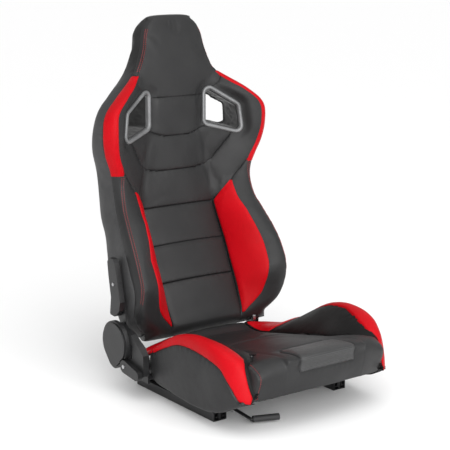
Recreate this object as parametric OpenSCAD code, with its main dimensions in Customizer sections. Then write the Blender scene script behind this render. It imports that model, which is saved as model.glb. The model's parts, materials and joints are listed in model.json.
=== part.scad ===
// Reclining bucket sport seat on two slide rails.
// +Z is up and the seat faces -Y, so -X is the occupant's right, where the recliner is.
// The origin is the centre of the four floor bolt holes, on the underside of the rails.

/* [Rails] */
// Distance between the centres of the two rails
rail_span = 380; // [370:1:384]
// Length of a lower rail
rail_length = 342; // [336:1:350]
// Width of a lower rail
rail_w = 38; // [38:1:40]
// Thickness of the rail's sheet steel
rail_sheet = 2.5; // [2:0.1:2.8]
// Spacing of the floor bolt holes along a rail
bolt_spacing = 310; // [306:1:314]
// Diameter of a floor bolt hole, for an M8 bolt
bolt_hole_d = 9; // [8.4:0.1:9.4]
// Travel of the seat each way from the middle
slide_travel = 80; // [60:1:80]

/* [Recliner] */
// Height of the backrest's pivot
pivot_z = 125; // [123:1:126]
// Distance of the pivot behind the middle of the rails
pivot_y = 158; // [157:1:160]
// Thickness of the recliner's steel plates
plate_t = 5; // [4:0.5:5]
// Diameter of the pivot pins
pivot_d = 14; // [12:1:16]

/* [Upholstery] */
// Thickness of the padded rear cover
rear_skin = 10; // [8:1:12]
// Gap between neighbouring pads
pad_gap = 0.4; // [0.3:0.1:0.8]
// Thickness of a sewn trim panel
trim_t = 2.4; // [1.5:0.1:3]

/* [Handles] */
// Diameter of the slide release rod
rod_d = 8; // [6:0.5:9]
// Diameter of the rubber grip on the rod
grip_d = 16; // [14:0.5:18]

/* [Hidden] */
$fn = 48;
rail_x = rail_span / 2;
rail_h = 22;
lip_w = 9;
upper_top = 35;
frame_z = 58;
frame_d = 22;
tube_wall = 1.8;
pad_floor = 78;
lever_y = 112;
lever_z = 78;
shaft_x = -150;
shaft_z = 24;
plate_x = 249.3;
left_hinge_x = 162.3;

black = [0.12, 0.12, 0.13];
red = [0.78, 0.06, 0.09];
steel = [0.32, 0.33, 0.35];
plastic = [0.16, 0.16, 0.17];

// Backrest sections. Each one lies across the backrest, tilted by the lean at its height.
// height, y of the middle of the front, lean,
// groove x, depth, bolster crest x, depth, side seam x, depth, rear corner x, depth, rear depth
BACK = [
    [146, 133, 27, 112, 12, 172,   0, 194,  24, 172,  82,  98],
    [165, 138, 27, 114, 13, 205, -24, 221,  10, 205,  84, 104],
    [192, 151, 27, 115, 13, 224, -50, 234,  -8, 221,  86, 108],
    [233, 171, 27, 116, 13, 228, -82, 239, -44, 228,  80, 110],
    [281, 196, 27, 117, 13, 228, -88, 241, -52, 229,  74, 110],
    [331, 221, 27, 118, 13, 224, -82, 237, -48, 225,  66, 108],
    [392, 252, 24, 117, 13, 214, -68, 228, -38, 219,  54, 104],
    [440, 271, 18, 114, 13, 205, -55, 221, -28, 215,  46, 102],
    [500, 281,  8, 108, 13, 200, -47, 221, -24, 217,  36, 104],
    [550, 284,  2, 100, 12, 205, -52, 230, -30, 226,  28, 106],
    [600, 284,  0,  92, 11, 222, -62, 250, -34, 242,  18, 106],
    [650, 283,  0,  84,  8, 228, -71, 258, -38, 246,  10, 106],
    [702, 280,  0,  81,  7, 225, -66, 246, -34, 232,   8, 104],
    [742, 279,  0,  84,  6, 184, -45, 203, -20, 190,  20, 102],
    [790, 277,  0, 108,  4, 126,   5, 134,  18, 116,  68,  98],
    [844, 284,  0,  91,  3,  98,   8, 104,  28,  94,  58,  70],
    [900, 292,  0,  76,  3,  86,   8,  93,  24,  88,  46,  54],
    [926, 299,  0,  66,  3,  74,   6,  82,  16,  78,  36,  42],
    [936, 306,  0,  52,  2,  57,   4,  65,  10,  61,  24,  28]];

// Cushion sections, across the seat at each y.
// y, height of the middle, groove x, z, crest x, z, band edge x, z, skirt x, lower edge
SEAT = [
    [-318, 180, 186, 112, 198, 110, 213,  86, 212,  80],
    [-300, 184, 184, 152, 212, 148, 230,  90, 229,  80],
    [-280, 184, 176, 172, 223, 178, 242, 120, 240,  70],
    [-245, 180, 152, 174, 229, 199, 248, 158, 246,  55],
    [-200, 171, 124, 165, 232, 211, 250, 174, 249,  44],
    [-140, 158, 121, 151, 233, 213, 251, 181, 250,  41],
    [ -80, 146, 121, 139, 233, 200, 251, 178, 250,  43],
    [ -20, 133, 121, 127, 231, 173, 249, 155, 248,  46],
    [  40, 120, 121, 114, 228, 138, 245, 126, 243,  50],
    [ 100, 113, 119, 108, 220, 108, 236, 100, 234,  84],
    [ 142, 125, 116, 119, 204, 100, 220,  94, 220,  84]];

// Thigh pad sections, across the seat at each x: y and z of the top, the roll and the lower edge.
// x, front top y, z, roll y, z, lower front y, z, upper rear y, z
THIGH = [
    [  0, -318, 186, -345, 160, -338, 98, -51, 140],
    [ 60, -317, 186, -344, 160, -337, 97, -51, 139],
    [110, -315, 184, -342, 158, -331, 95, -51, 135],
    [119, -314, 183, -341, 158, -330, 94, -51, 134],
    [123, -313, 183, -341, 157, -329, 94, -222, 169],
    [160, -306, 179, -336, 154, -320, 90, -248, 174],
    [189, -298, 170, -328, 148, -308, 86, -276, 170]];

// ---- Curves through the section tables ----

function span_index(t, s, i = 0) = i >= len(t) - 2 || t[i + 1][0] >= s ? i : span_index(t, s, i + 1);

// Catmull-Rom curve through four neighbours
function spline(a, b, c, d, t) =
    0.5 * (2 * b + (c - a) * t + (2 * a - 5 * b + 4 * c - d) * t * t
        + (3 * b - a - 3 * c + d) * t * t * t);

// All columns of a table at station s
function section(table, s) =
    let (i = span_index(table, s),
        t = (s - table[i][0]) / (table[i + 1][0] - table[i][0]))
    spline(table[max(i - 1, 0)], table[i], table[i + 1], table[min(i + 2, len(table) - 1)], t);

// Smooth line through a few points, n steps between neighbours
function smooth(p, n) = [
    for (i = [0:len(p) - 2], k = [0:n - 1])
        spline(p[max(i - 1, 0)], p[i], p[i + 1], p[min(i + 2, len(p) - 1)], k / n),
    p[len(p) - 1]];

function steps(a, b, n) = [for (i = [0:n]) a + (b - a) * i / n];
// Heights from a to b, with the same multiples of 20 between them for every pad
function stations(a, b) =
    concat([a], [for (s = [20 * ceil((a + 4) / 20):20:b - 4]) s], [b]);
function reversed(p) = [for (i = [len(p) - 1:-1:0]) p[i]];
function unit(v) = v / norm(v);

// A line moved sideways by t, to the right of its direction
function shifted(p, t) = [
    for (i = [0:len(p) - 1])
        let (d = unit(p[min(i + 1, len(p) - 1)] - p[max(i - 1, 0)]))
        p[i] + t * [d[1], -d[0]]];

// ---- Solids ----

// Closed solid through rings with the same number of points
module loft(rings) {
    n = len(rings[0]);
    m = len(rings);
    polyhedron(
        points = [for (r = rings) each r],
        faces = concat(
            [[for (i = [0:n - 1]) i]],
            [for (k = [0:m - 2], i = [0:n - 1]) [k * n + i, (k + 1) * n + i, (k + 1) * n + (i + 1) % n]],
            [for (k = [0:m - 2], i = [0:n - 1]) [k * n + i, (k + 1) * n + (i + 1) % n, k * n + (i + 1) % n]],
            [[for (i = [n - 1:-1:0]) (m - 1) * n + i]]));
}

// Bent bar through points, with a ball a little fatter than the bar at each bend
module pipe(points, d) {
    for (i = [0:len(points) - 2]) {
        rod_between(points[i], points[i + 1], d);
        if (i > 0) translate(points[i]) sphere(d = d * 1.04);
    }
}

module rod_between(a, b, d) {
    v = b - a;
    translate(a)
        rotate([0, acos(v[2] / norm(v)), atan2(v[1], v[0])])
            cylinder(d = d, h = norm(v));
}

// Plate in the YZ plane from x0 to x1, by its outline in y and z
module side_plate(x0, x1) {
    translate([x0, 0, 0]) rotate([90, 0, 90]) linear_extrude(x1 - x0) children();
}

module bar_x(x0, x1, y, z, d) {
    translate([x0, y, z]) rotate([0, 90, 0]) cylinder(d = d, h = x1 - x0);
}

module on_left() {
    mirror([1, 0, 0]) children();
}

// ---- Rails ----

module lower_rail() {
    color(steel) difference() {
        translate([0, rail_length / 2, 0]) rotate([90, 0, 0]) linear_extrude(rail_length)
            difference() {
                translate([-rail_w / 2, 0]) square([rail_w, rail_h]);
                translate([rail_sheet - rail_w / 2, rail_sheet])
                    square([rail_w - 2 * rail_sheet, rail_h - 2 * rail_sheet]);
                translate([lip_w - rail_w / 2, rail_h / 2]) square([rail_w - 2 * lip_w, rail_h]);
            }
        for (y = [-1, 1] * bolt_spacing / 2)
            translate([0, y, -1]) cylinder(d = bolt_hole_d, h = rail_sheet + 2);
    }
}
module lower_rail_right() { translate([-rail_x, 0, 0]) lower_rail(); }
module lower_rail_left() { translate([rail_x, 0, 0]) lower_rail(); }

// Blocks on the lower rails that the upper rails' inner blocks meet at each end
stop_y = 160;
module rail_stops() {
    color(steel) for (x = [-rail_x, rail_x], side = [-1, 1])
        translate([x - 3, side > 0 ? stop_y + 6 : -stop_y - 10, rail_sheet]) cube([6, 4, 18]);
}

// Hat section with feet under the lower rail's lips
module upper_rail() {
    color(steel) difference() {
        union() {
            translate([0, rail_length / 2, 0]) rotate([90, 0, 0]) linear_extrude(rail_length)
                difference() {
                    union() {
                        translate([-7, 8.5]) square([14, upper_top - 8.5]);
                        translate([-14, 8.5]) square([28, 2]);
                        translate([-16, upper_top - 2]) square([32, 2]);
                    }
                    translate([-5, 0]) square([10, upper_top - 2]);
                }
            for (side = [-1, 1])
                translate([-5.5, side * (stop_y + 4 - slide_travel) - 2, 12]) cube([11, 4, 8]);
        }
        for (y = bracket_ys) translate([0, y, 0]) cylinder(d = 8.4, h = 60);
    }
}
bracket_ys = [-120, 99];
module upper_rail_right() { translate([-rail_x, 0, 0]) upper_rail(); }
module upper_rail_left() { translate([rail_x, 0, 0]) upper_rail(); }

// Strip with a row of balls each side, rolling between the rails
module ball_cage() {
    ball_ys = [for (i = [-3:3]) i * 26];
    color("silver") {
        difference() {
            translate([-13, -90, 5]) cube([26, 180, 1]);
            for (y = ball_ys, x = [-10, 10]) translate([x, y, 0]) cylinder(d = 6.2, h = 10);
        }
        for (y = ball_ys, x = [-10, 10]) translate([x, y, 5.5]) sphere(d = 5.9, $fn = 24);
    }
}
module ball_cage_right() { translate([-rail_x, 0, 0]) ball_cage(); }
module ball_cage_left() { translate([rail_x, 0, 0]) ball_cage(); }

// ---- Seat frame ----

// Side tubes that rise into the thigh pad at the front, and a cross tube at each end
frame_front = [-258, 96];
frame_rear = [96, 58];
bend_y = -196;
module seat_frame() {
    color(steel) difference() {
        union() {
            for (x = [-rail_x, rail_x]) {
                rod_between([x, 184, frame_z], [x, bend_y, frame_z], frame_d);
                rod_between([x, bend_y, frame_z], [x * 0.92, frame_front[0], frame_front[1]], frame_d - 3);
            }
            bar_x(-rail_x * 0.92 - 8, rail_x * 0.92 + 8, frame_front[0], frame_front[1], frame_d);
            bar_x(-rail_x + 8, rail_x - 8, frame_rear[0], frame_rear[1], frame_d - 3);
            bar_x(-rail_x + 8, rail_x - 8, bend_y - 4, frame_z, 15);
            for (y = [128, 58]) bar_x(-plate_x, -rail_x - 8, y, frame_z, 16);
        }
        for (x = [-rail_x, rail_x]) {
            rod_between([x, 190, frame_z], [x, bend_y + 16, frame_z], frame_d - 2 * tube_wall);
            for (y = bracket_ys) translate([x, y, 0]) cylinder(d = 8.4, h = 90);
        }
    }
}

module frame_brackets() {
    color(steel) for (x = [-rail_x, rail_x], y = bracket_ys) difference() {
        translate([x - 15, y - 18, upper_top]) cube([30, 36, frame_z - upper_top]);
        translate([x, y + 20, frame_z]) rotate([90, 0, 0]) cylinder(d = frame_d, h = 40);
        translate([x, y, 0]) cylinder(d = 8.4, h = 90);
    }
}

module frame_bolts() {
    color("silver") for (x = [-rail_x, rail_x], y = bracket_ys) translate([x, y, 0]) {
        translate([0, 0, 27]) cylinder(d = 8, h = 44);
        translate([0, 0, 69]) cylinder(d = 13, h = 5, $fn = 6);
        translate([0, 0, 26.5]) cylinder(d = 9.4, h = 6, $fn = 6);
    }
}

// Zigzag wire, flat in XY, from y0 to y1
module zigzag(y0, y1, half_w, pitch, wire) {
    n = round((y1 - y0) / pitch);
    line = [for (i = [0:n]) [(i % 2 == 0 ? -1 : 1) * half_w, y0 + i * (y1 - y0) / n]];
    linear_extrude(wire) polygon(concat(line, reversed([for (p = line) p + [1.8 * wire, 0]])));
}
module seat_springs() {
    color(steel) for (x = [-126, -42, 42, 126])
        translate([x, 0, 64]) zigzag(bend_y - 4, frame_rear[0], 18, 24, 3.5);
}

// ---- Cushion ----

// Outer half section of a bolster, from the groove over the crest to the band's edge
function seat_outer(y, r) =
    [for (p = smooth([[r[2], r[3]], [r[4], r[5]], [r[6], r[7]]], 4)) [p[0], y, p[1]]];

module cushion_rear_pad() {
    color(black) loft([
        for (y = steps(-49, 138, 8))
            let (r = section(SEAT, y), x = r[2] - pad_gap,
                low = y > 60 ? 86 : pad_floor,
                half = [[x / 2, r[1] - 1.5], [x, r[3]]],
                top = smooth(concat(mirrored(half), [[0, r[1]]], half), 2))
            concat([for (p = top) [p[0], y, p[1]]], [[x, y, low], [-x, y, low]])]);
}

module cushion_thigh_pad() {
    half = [for (x = [0, 30, 60, 90, 119, 123, 140, 160, 189]) x];
    color(black) difference() {
        loft([
            for (x = concat([for (i = [len(half) - 1:-1:1]) -half[i]], half))
                let (r = section(THIGH, abs(x)),
                    front = smooth([[r[7], r[8]], [r[1], r[2]], [r[3], r[4]], [r[5], r[6]]], 4))
                concat([for (p = front) [x, p[0], p[1]]],
                    [[x, r[5] + 30, pad_floor], [x, r[7], pad_floor]])]);
        translate([-150, -500, 0]) cube([300, 100, 100]);
    }
}

// Thin skin on the thigh pad's nose
module carbon_insert() {
    color([0.25, 0.25, 0.26]) loft([
        for (x = steps(-86, 86, 8))
            let (r = section(THIGH, abs(x)),
                front = smooth([[r[7], r[8]], [r[1], r[2]], [r[3], r[4]], [r[5], r[6]]], 4),
                line = [for (i = [3:9]) front[i]])
            [for (p = concat(shifted(line, trim_t), reversed(shifted(line, 0.5)))) [x, p[0], p[1]]]]);
}

// Side of the thigh pad at each y
function thigh_side(y) = lookup(y,
    [[-318, 190], [-271, 190], [-248, 162], [-225, 129], [-202, 125], [-180, 123.5], [-134, 122],
    [-60, 119]]);

module cushion_bolster() {
    color(black) loft([
        for (y = steps(-317, 140, 20))
            let (r = section(SEAT, y), low = y > 60 ? max(r[9], 86) : pad_floor,
                inner = max(r[2], thigh_side(y)) + pad_gap,
                line = seat_outer(y, r))
            concat([[inner, y, line[0][2]]],
                [for (i = [1:len(line) - 1]) [max(line[i][0], inner + 0.3 * i), y, line[i][2]]],
                [[r[6] - 15, y, r[7] - 5], [min(r[6], r[8]) - 19, y, low], [inner, y, low]])]);
}
module cushion_bolster_right() { on_left() cushion_bolster_left(); }
module cushion_bolster_left() { cushion_bolster(); }

// Red band over the crest, lying on the bolster
module cushion_band_left() {
    color(red) loft([
        for (y = steps(128, -317, 20))
            let (r = section(SEAT, y),
                line = [for (p = seat_outer(y, r)) [p[0], p[2]]],
                top = [for (i = [4:8]) line[i]])
            [for (p = concat(shifted(top, -1.3), reversed(shifted(top, -trim_t)))) [p[0], y, p[1]]]]);
}
module cushion_band_right() { on_left() cushion_band_left(); }

// Side skirt that hangs over the frame
module cushion_side_left() {
    color(black) loft([
        for (y = steps(-284, 40, 12))
            let (r = section(SEAT, y), x = r[6] - pad_gap)
            [[x - 10, y, r[7] - 14], [x, y, r[7] - 3], [r[8], y, (r[7] + r[9]) / 2], [r[8] - 4, y, r[9]],
                [r[8] - 12, y, r[9]], [x - 13, y, (r[7] + r[9]) / 2]]]);
}
module cushion_side_right() { on_left() cushion_side_left(); }

// ---- Recliner ----

// Shapes in the YZ plane
module pivot_disc(r) { translate([pivot_y, pivot_z]) circle(r); }
module lever_disc(r) { translate([lever_y, lever_z]) circle(r); }

module recliner_plate_right() {
    color(steel) side_plate(-plate_x - plate_t, -plate_x) difference() {
        polygon(concat([[128, 44], [48, 44], [48, 112], [66, 134], [104, 154]],
            [for (a = [100:-10:-40]) [pivot_y + 34 * cos(a), pivot_z + 34 * sin(a)]]));
        pivot_disc(pivot_d / 2);
        lever_disc(rod_d / 2 + 0.05);
    }
}

module recliner_plate_left() {
    color(steel) {
        side_plate(left_hinge_x, left_hinge_x + plate_t) difference() {
            union() {
                pivot_disc(17);
                polygon([[102, 66], [102, 83], [146, 84], [142, 118], [172, 112], [178, 46], [150, 46]]);
            }
            pivot_disc(pivot_d / 2);
            lever_disc(rod_d / 2 + 0.05);
        }
        bar_x(left_hinge_x + plate_t, rail_x - frame_d / 2 + 1, 168, frame_z, 16);
    }
}

// Lower housing that covers the recliner's plates
module recliner_housing() {
    color(plastic) side_plate(-plate_x - plate_t - 17.5, -plate_x - plate_t - 0.3) difference() {
        offset(r = 6) offset(delta = -6) union() {
            pivot_disc(52);
            polygon([[42, 64], [42, 120], [63, 138], [99, 162], [150, 175], [205, 130], [184, 78],
                [150, 68]]);
        }
        pivot_disc(pivot_d / 2 + 1);
        lever_disc(rod_d / 2 + 1);
        translate([95, 100]) square([7, 36]);
    }
}

module shield_outline() {
    hull() {
        translate([159, 129]) circle(57);
        translate([162, 90]) circle(29);
    }
}
module recliner_shield() {
    face = -plate_x - plate_t - 17.8;
    color(plastic) difference() {
        union() {
            side_plate(face - 11, face) shield_outline();
            side_plate(face - 15, face - 11) offset(delta = -5) shield_outline();
        }
        side_plate(face - 30, face + 1) lever_disc(20);
    }
}

module pivot_pin_right() {
    color("silver") {
        bar_x(-plate_x - plate_t - 8, -plate_x + plate_t + 0.6, pivot_y, pivot_z, pivot_d);
        bar_x(-plate_x + plate_t + 0.3, -plate_x + plate_t + 1.2, pivot_y, pivot_z, pivot_d + 6);
    }
}
module pivot_pin_left() {
    color("silver") {
        bar_x(left_hinge_x - plate_t - 14, left_hinge_x + plate_t + 1, pivot_y, pivot_z, pivot_d);
        bar_x(left_hinge_x + plate_t + 0.2, left_hinge_x + plate_t + 4, pivot_y, pivot_z, pivot_d + 4);
    }
}

// Arms that carry the backrest. The right one has teeth under the housing.
module arm_outline(top_y, top_z, r_hub, w) {
    hull() {
        pivot_disc(w / 2);
        translate([top_y, top_z]) circle(w / 2);
    }
    pivot_disc(r_hub);
}
module recliner_arm_right() {
    color(steel) side_plate(-plate_x + 0.3, -plate_x + 0.3 + plate_t) difference() {
        arm_outline(206, 318, 34, 30);
        pivot_disc(pivot_d / 2 + 0.05);
        for (a = [190:9:325]) translate([pivot_y + 35 * cos(a), pivot_z + 35 * sin(a)]) circle(2, $fn = 16);
    }
}
module recliner_arm_left() {
    color(steel) side_plate(left_hinge_x - 0.3 - plate_t, left_hinge_x - 0.3) difference() {
        union() {
            arm_outline(196, 160, 17, 28);
            hull() {
                translate([196, 160]) circle(14);
                translate([262, 290]) circle(12);
            }
        }
        pivot_disc(pivot_d / 2 + 0.05);
    }
}

// Flat spiral spring round the left pivot pin
module recliner_spring() {
    turns = 3.2;
    spiral = [for (a = [0:15:turns * 360]) (9.2 + 4.2 * a / 360) * [cos(a), sin(a)]];
    color(steel) side_plate(left_hinge_x - plate_t - 11, left_hinge_x - plate_t - 3)
        translate([pivot_y, pivot_z])
            polygon(concat(spiral, reversed([for (p = spiral) p * (1 - 1.6 / norm(p))])));
}

module hinge_cover() {
    color(plastic) side_plate(-plate_x - 15, -plate_x - 0.3)
        offset(r = 5) offset(delta = -5)
            polygon([[187, 188], [166, 206], [160, 230], [171, 282], [183, 328], [193, 339], [209, 340],
                [219, 328], [214, 290], [204, 236], [208, 206], [210, 190]]);
}
module hinge_cover_screw() {
    color("silver") bar_x(-plate_x - 17, -plate_x - 15, 191, 273, 9);
}

module recliner_lever() {
    outer = -plate_x - plate_t - 32;
    color(plastic) side_plate(outer, -plate_x - plate_t - 18.2) difference() {
        hull() {
            lever_disc(17);
            translate([58, 68]) circle(13);
        }
        lever_disc(rod_d / 2);
    }
}
module lever_screw() {
    outer = -plate_x - plate_t - 32;
    color("silver") bar_x(outer - 2, outer, lever_y, lever_z, 10);
}
module sync_rod() {
    color("silver") bar_x(-plate_x - plate_t - 32, left_hinge_x + plate_t + 4, lever_y, lever_z, rod_d);
}

// ---- Slide release ----

module slider_rod() {
    color(steel) {
        translate([shaft_x, -60, shaft_z]) rotate([90, 0, 0]) cylinder(d = rod_d, h = 92);
        pipe([[shaft_x, -150, shaft_z], [-147, -238, 14], [-84, -261, 14]], rod_d);
        translate([shaft_x, -151, shaft_z]) sphere(d = rod_d * 1.04);
        translate([0, -62, 0]) link_arm(shaft_x, -14);
        latch_teeth(shaft_x, -1);
    }
}
// Arm of a latch, with the hole for the link
module link_arm(x, dz) {
    translate([x, 0, shaft_z]) rotate([90, 0, 0]) linear_extrude(4) difference() {
        hull() {
            circle(6);
            translate([0, dz]) circle(5);
        }
        translate([0, dz]) circle(dz > 0 ? 4.2 : 2.05);
    }
}
// Toothed plate that reaches towards the rail's wall
module latch_teeth(x, side) {
    tip = rail_x - rail_w / 2 - 0.6;
    for (y = [-116, -106, -96, -86]) translate([min(x, side * tip), y, 8]) cube([tip - abs(x), 5, 4]);
    translate([side < 0 ? x - 12 : x, -116, 8]) cube([12, 35, 4]);
    translate([x - 3, -116, 8]) cube([6, 35, shaft_z - 8]);
}
module slider_grip() {
    a = [-147, -238, 14];
    b = [-84, -261, 14];
    color([0.1, 0.1, 0.1]) difference() {
        rod_between(a + 0.06 * (b - a), b + 0.05 * (b - a), grip_d);
        rod_between(a, b, rod_d);
    }
}
module latch_left() {
    color(steel) {
        translate([-shaft_x, -60, shaft_z]) rotate([90, 0, 0]) cylinder(d = rod_d, h = 86);
        translate([0, -62, 0]) link_arm(-shaft_x, 14);
        latch_teeth(-shaft_x, 1);
    }
}
module latch_link() {
    right = [shaft_x, -70, shaft_z - 14];
    left = [-shaft_x, -70, shaft_z + 14];
    color("silver") {
        pipe([right, left], 4);
        for (p = [right, left]) translate([p[0], -59, p[2]]) rotate([90, 0, 0]) cylinder(d = 4, h = 11);
        for (p = [right, left]) translate(p) sphere(d = 4.3);
    }
}
module latch_bearings() {
    color(steel) for (side = [-1, 1], y = [-77, -140]) difference() {
        union() {
            translate([side < 0 ? -rail_x + 16 : -shaft_x - 8, y, 28])
                cube([rail_x - 16 + shaft_x + 8, 8, upper_top - 28]);
            translate([side * -shaft_x - 8, y, 14]) cube([16, 8, upper_top - 14]);
        }
        translate([side * -shaft_x, y + 20, shaft_z]) rotate([90, 0, 0]) cylinder(d = rod_d + 0.1, h = 40);
    }
}

// ---- Backrest ----

function back_point(r, x, d) = [x, r[1] + d * cos(r[2]), r[0] - d * sin(r[2])];
function on_back(r, line) = [for (p = line) back_point(r, p[0], p[1])];
function mirrored(line) = [for (p = reversed(line)) [-p[0], p[1]]];
function skin_at(r) = min(rear_skin, 0.33 * r[11]);
function core_at(r) = min(62, r[11] - skin_at(r) - 2);

// How full the bolster's inner wall is at each height: 0.5 is straight
function fullness(s) = lookup(s,
    [[146, 0.55], [192, 0.66], [281, 0.72], [392, 0.7], [440, 0.66], [500, 0.58], [600, 0.5]]);
// Groove, middle of the inner wall, crest and side seam
function outer_points(r) =
    let (k = fullness(r[0]), groove = [r[3], r[4]], rise = [r[5], r[6]] - groove)
    [groove, groove + [(0.66 - 0.32 * k) * rise[0], k * rise[1]], [r[5], r[6]], [r[7], r[8]]];
// Front half line from the groove over the crest to the side seam
function back_outer(r) = smooth(outer_points(r), 3);
// Rear half line from the side seam to the middle of the back
function back_rear(r) = smooth([[r[7], r[8]], [r[9], r[10]], [0.55 * r[9], r[10] + 0.85 * (r[11] - r[10])],
    [0, r[11]]], 3);
// Front half line that ends just short of the side seam
function seam_side(r) =
    let (line = back_outer(r), n = len(line) - 1)
    concat([for (i = [0:n - 1]) line[i]], [line[n] + 0.35 * (line[n - 1] - line[n])]);
// Corner of a pad under the rear cover
function under_cover(r) =
    let (line = shifted(back_rear(r), -skin_at(r) - 1.2))
    concat([line[0] - [0, 1.5]], [for (i = [1:3]) line[i]]);
// Depth of the rear face at x
function rear_depth(r, x) =
    r[10] + 0.85 * (r[11] - r[10]) * min(1, (r[9] - x) / (0.45 * r[9]));
function pad_front(x, d) = smooth([[-x, d], [-x / 2, d * 0.22], [0, 0], [x / 2, d * 0.22], [x, d]], 2);

// Middle pad between the grooves, from height a to height b
module middle_pad(a, b) {
    color(black) loft([
        for (s = stations(a + pad_gap, b - pad_gap))
            let (r = section(BACK, s), x = r[3] - pad_gap, core = core_at(r))
            on_back(r, concat(pad_front(x, r[4]), [[x, core], [-x, core]]))]);
}
module lumbar_pad_lower() { middle_pad(148, 258); }
module lumbar_pad_middle() { middle_pad(258, 350); }
module lumbar_pad_upper() { middle_pad(350, 441); }
module upper_back_pad() { middle_pad(441, 640); }
module neck_pad() {
    difference() {
        middle_pad(640, 789);
        harness_cut();
        on_left() harness_cut();
    }
}

module headrest_pad() {
    color(black) loft([
        for (s = stations(790, 936))
            let (r = section(BACK, s), side = seam_side(r), rear = under_cover(r))
            on_back(r, concat(mirrored(side), [[0, 0]], side, rear,
                [[0, rear[3][1] + 0.4 * (r[11] - r[10])]], mirrored(rear)))]);
}

module back_bolster_left() {
    color(black) difference() {
        loft([
            for (s = stations(150, 789))
                let (r = section(BACK, s), line = seam_side(r), inner = r[3] + pad_gap + 0.5)
                on_back(r, concat([[inner, r[4]]], [for (i = [1:len(line) - 1]) line[i]],
                    [for (p = under_cover(r)) [max(p[0], inner + 3), p[1]]],
                    [[inner, min(core_at(r) + 16, rear_depth(r, r[3]) - skin_at(r) - 2)]]))]);
        harness_cut();
        side_plate(left_hinge_x - plate_t - 14, left_hinge_x + plate_t + 6) pivot_disc(40);
    }
}
module back_bolster_right() { on_left() back_bolster_left(); }

// Point on the front line: u is 0 at the groove, 1 at the crest, 2 at the side seam
function outer_at(r, u) =
    let (p = outer_points(r), t = max(0, u < 1 ? 2 * u : 1 + u), i = min(floor(t), 2))
    spline(p[max(i - 1, 0)], p[i], p[i + 1], p[min(i + 2, 3)], t - i);

// Strip of leather on the bolster's front line. Each row holds height, u of its two edges.
module back_strip(rows) {
    color(red) loft([
        for (s = stations(rows[0][0], rows[len(rows) - 1][0]))
            let (r = section(BACK, s), edge = section(rows, s),
                part = [for (u = steps(edge[1], edge[2], 4)) outer_at(r, u)])
            on_back(r, concat(shifted(part, trim_t), reversed(shifted(part, 1))))]);
}
module shoulder_band_left() { back_strip([[542, 1, 2], [664, 1, 2], [786, 1, 2]]); }
module shoulder_band_right() { on_left() shoulder_band_left(); }
module lumbar_accent_left() {
    back_strip([[152, 0, 0.12], [172, 0, 0.42], [200, 0, 0.62], [234, 0, 0.71], [281, 0, 0.71],
        [331, 0, 0.66], [392, 0, 0.58], [441, 0, 0.5], [464, 0.2, 0.47], [484, 0.36, 0.43]]);
}
module lumbar_accent_right() { on_left() lumbar_accent_left(); }

module rear_cover() {
    color([0.2, 0.2, 0.21]) difference() {
        loft([
            for (s = stations(148, 936))
                let (r = section(BACK, s), half = back_rear(r),
                    line = concat(half, [for (i = [len(half) - 2:-1:0]) [-half[i][0], half[i][1]]]))
                on_back(r, concat(line, reversed(shifted(line, -skin_at(r)))))]);
        tunnel(3.3);
        on_left() tunnel(3.3);
    }
}

// ---- Harness openings ----

bezel_outer = [[-58, 84], [-58, -38], [61, -69], [49, 19]];
bezel_front = [137, 267, 22];
tunnel_turn = 12;
bezel_z = 681;
bezel_w = 11;

// Bezel outline, grown by a little or shrunk to the opening
module bezel_outline(grow = 0) {
    offset(r = 20 + grow) offset(delta = -20) polygon(bezel_outer);
}
// Plane of a bezel, given as x, y and turn
module bezel_place(plane) {
    translate([plane[0], plane[1], bezel_z]) rotate([90, 0, -plane[2]]) children();
}
// Straight hole through the backrest
module tunnel(wall) {
    bezel_place([bezel_front[0], bezel_front[1], tunnel_turn])
        translate([0, 0, -160]) linear_extrude(240) bezel_outline(wall - bezel_w - 3);
}
module bezel_ring(back, thickness) {
    translate([0, 0, back]) difference() {
        linear_extrude(thickness) bezel_outline();
        translate([0, 0, -1]) linear_extrude(thickness + 2) bezel_outline(-bezel_w);
    }
}
module harness_bezel_left() {
    color([0.3, 0.31, 0.32]) bezel_place(bezel_front) bezel_ring(-4, 10);
}
module harness_bezel_right() { on_left() harness_bezel_left(); }
module harness_liner_left() {
    color([0.08, 0.08, 0.08]) intersection() {
        difference() {
            tunnel(3);
            tunnel(0);
            bezel_place(bezel_front) translate([-200, -200, -4.3]) cube([400, 400, 200]);
        }
        loft([
            for (s = steps(560, 780, 8))
                let (r = section(BACK, s), half = back_rear(r))
                on_back(r, concat(mirrored(back_outer(r)), back_outer(r),
                    [for (i = [1:len(half) - 1]) half[i]],
                    [for (i = [len(half) - 2:-1:1]) [-half[i][0], half[i][1]]]))]);
    }
}
module harness_liner_right() { on_left() harness_liner_left(); }
module harness_cut() {
    tunnel(3.3);
    bezel_place(bezel_front) translate([0, 0, -4.3]) linear_extrude(90) bezel_outline(0.4);
}

// ---- Backrest frame ----

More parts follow.
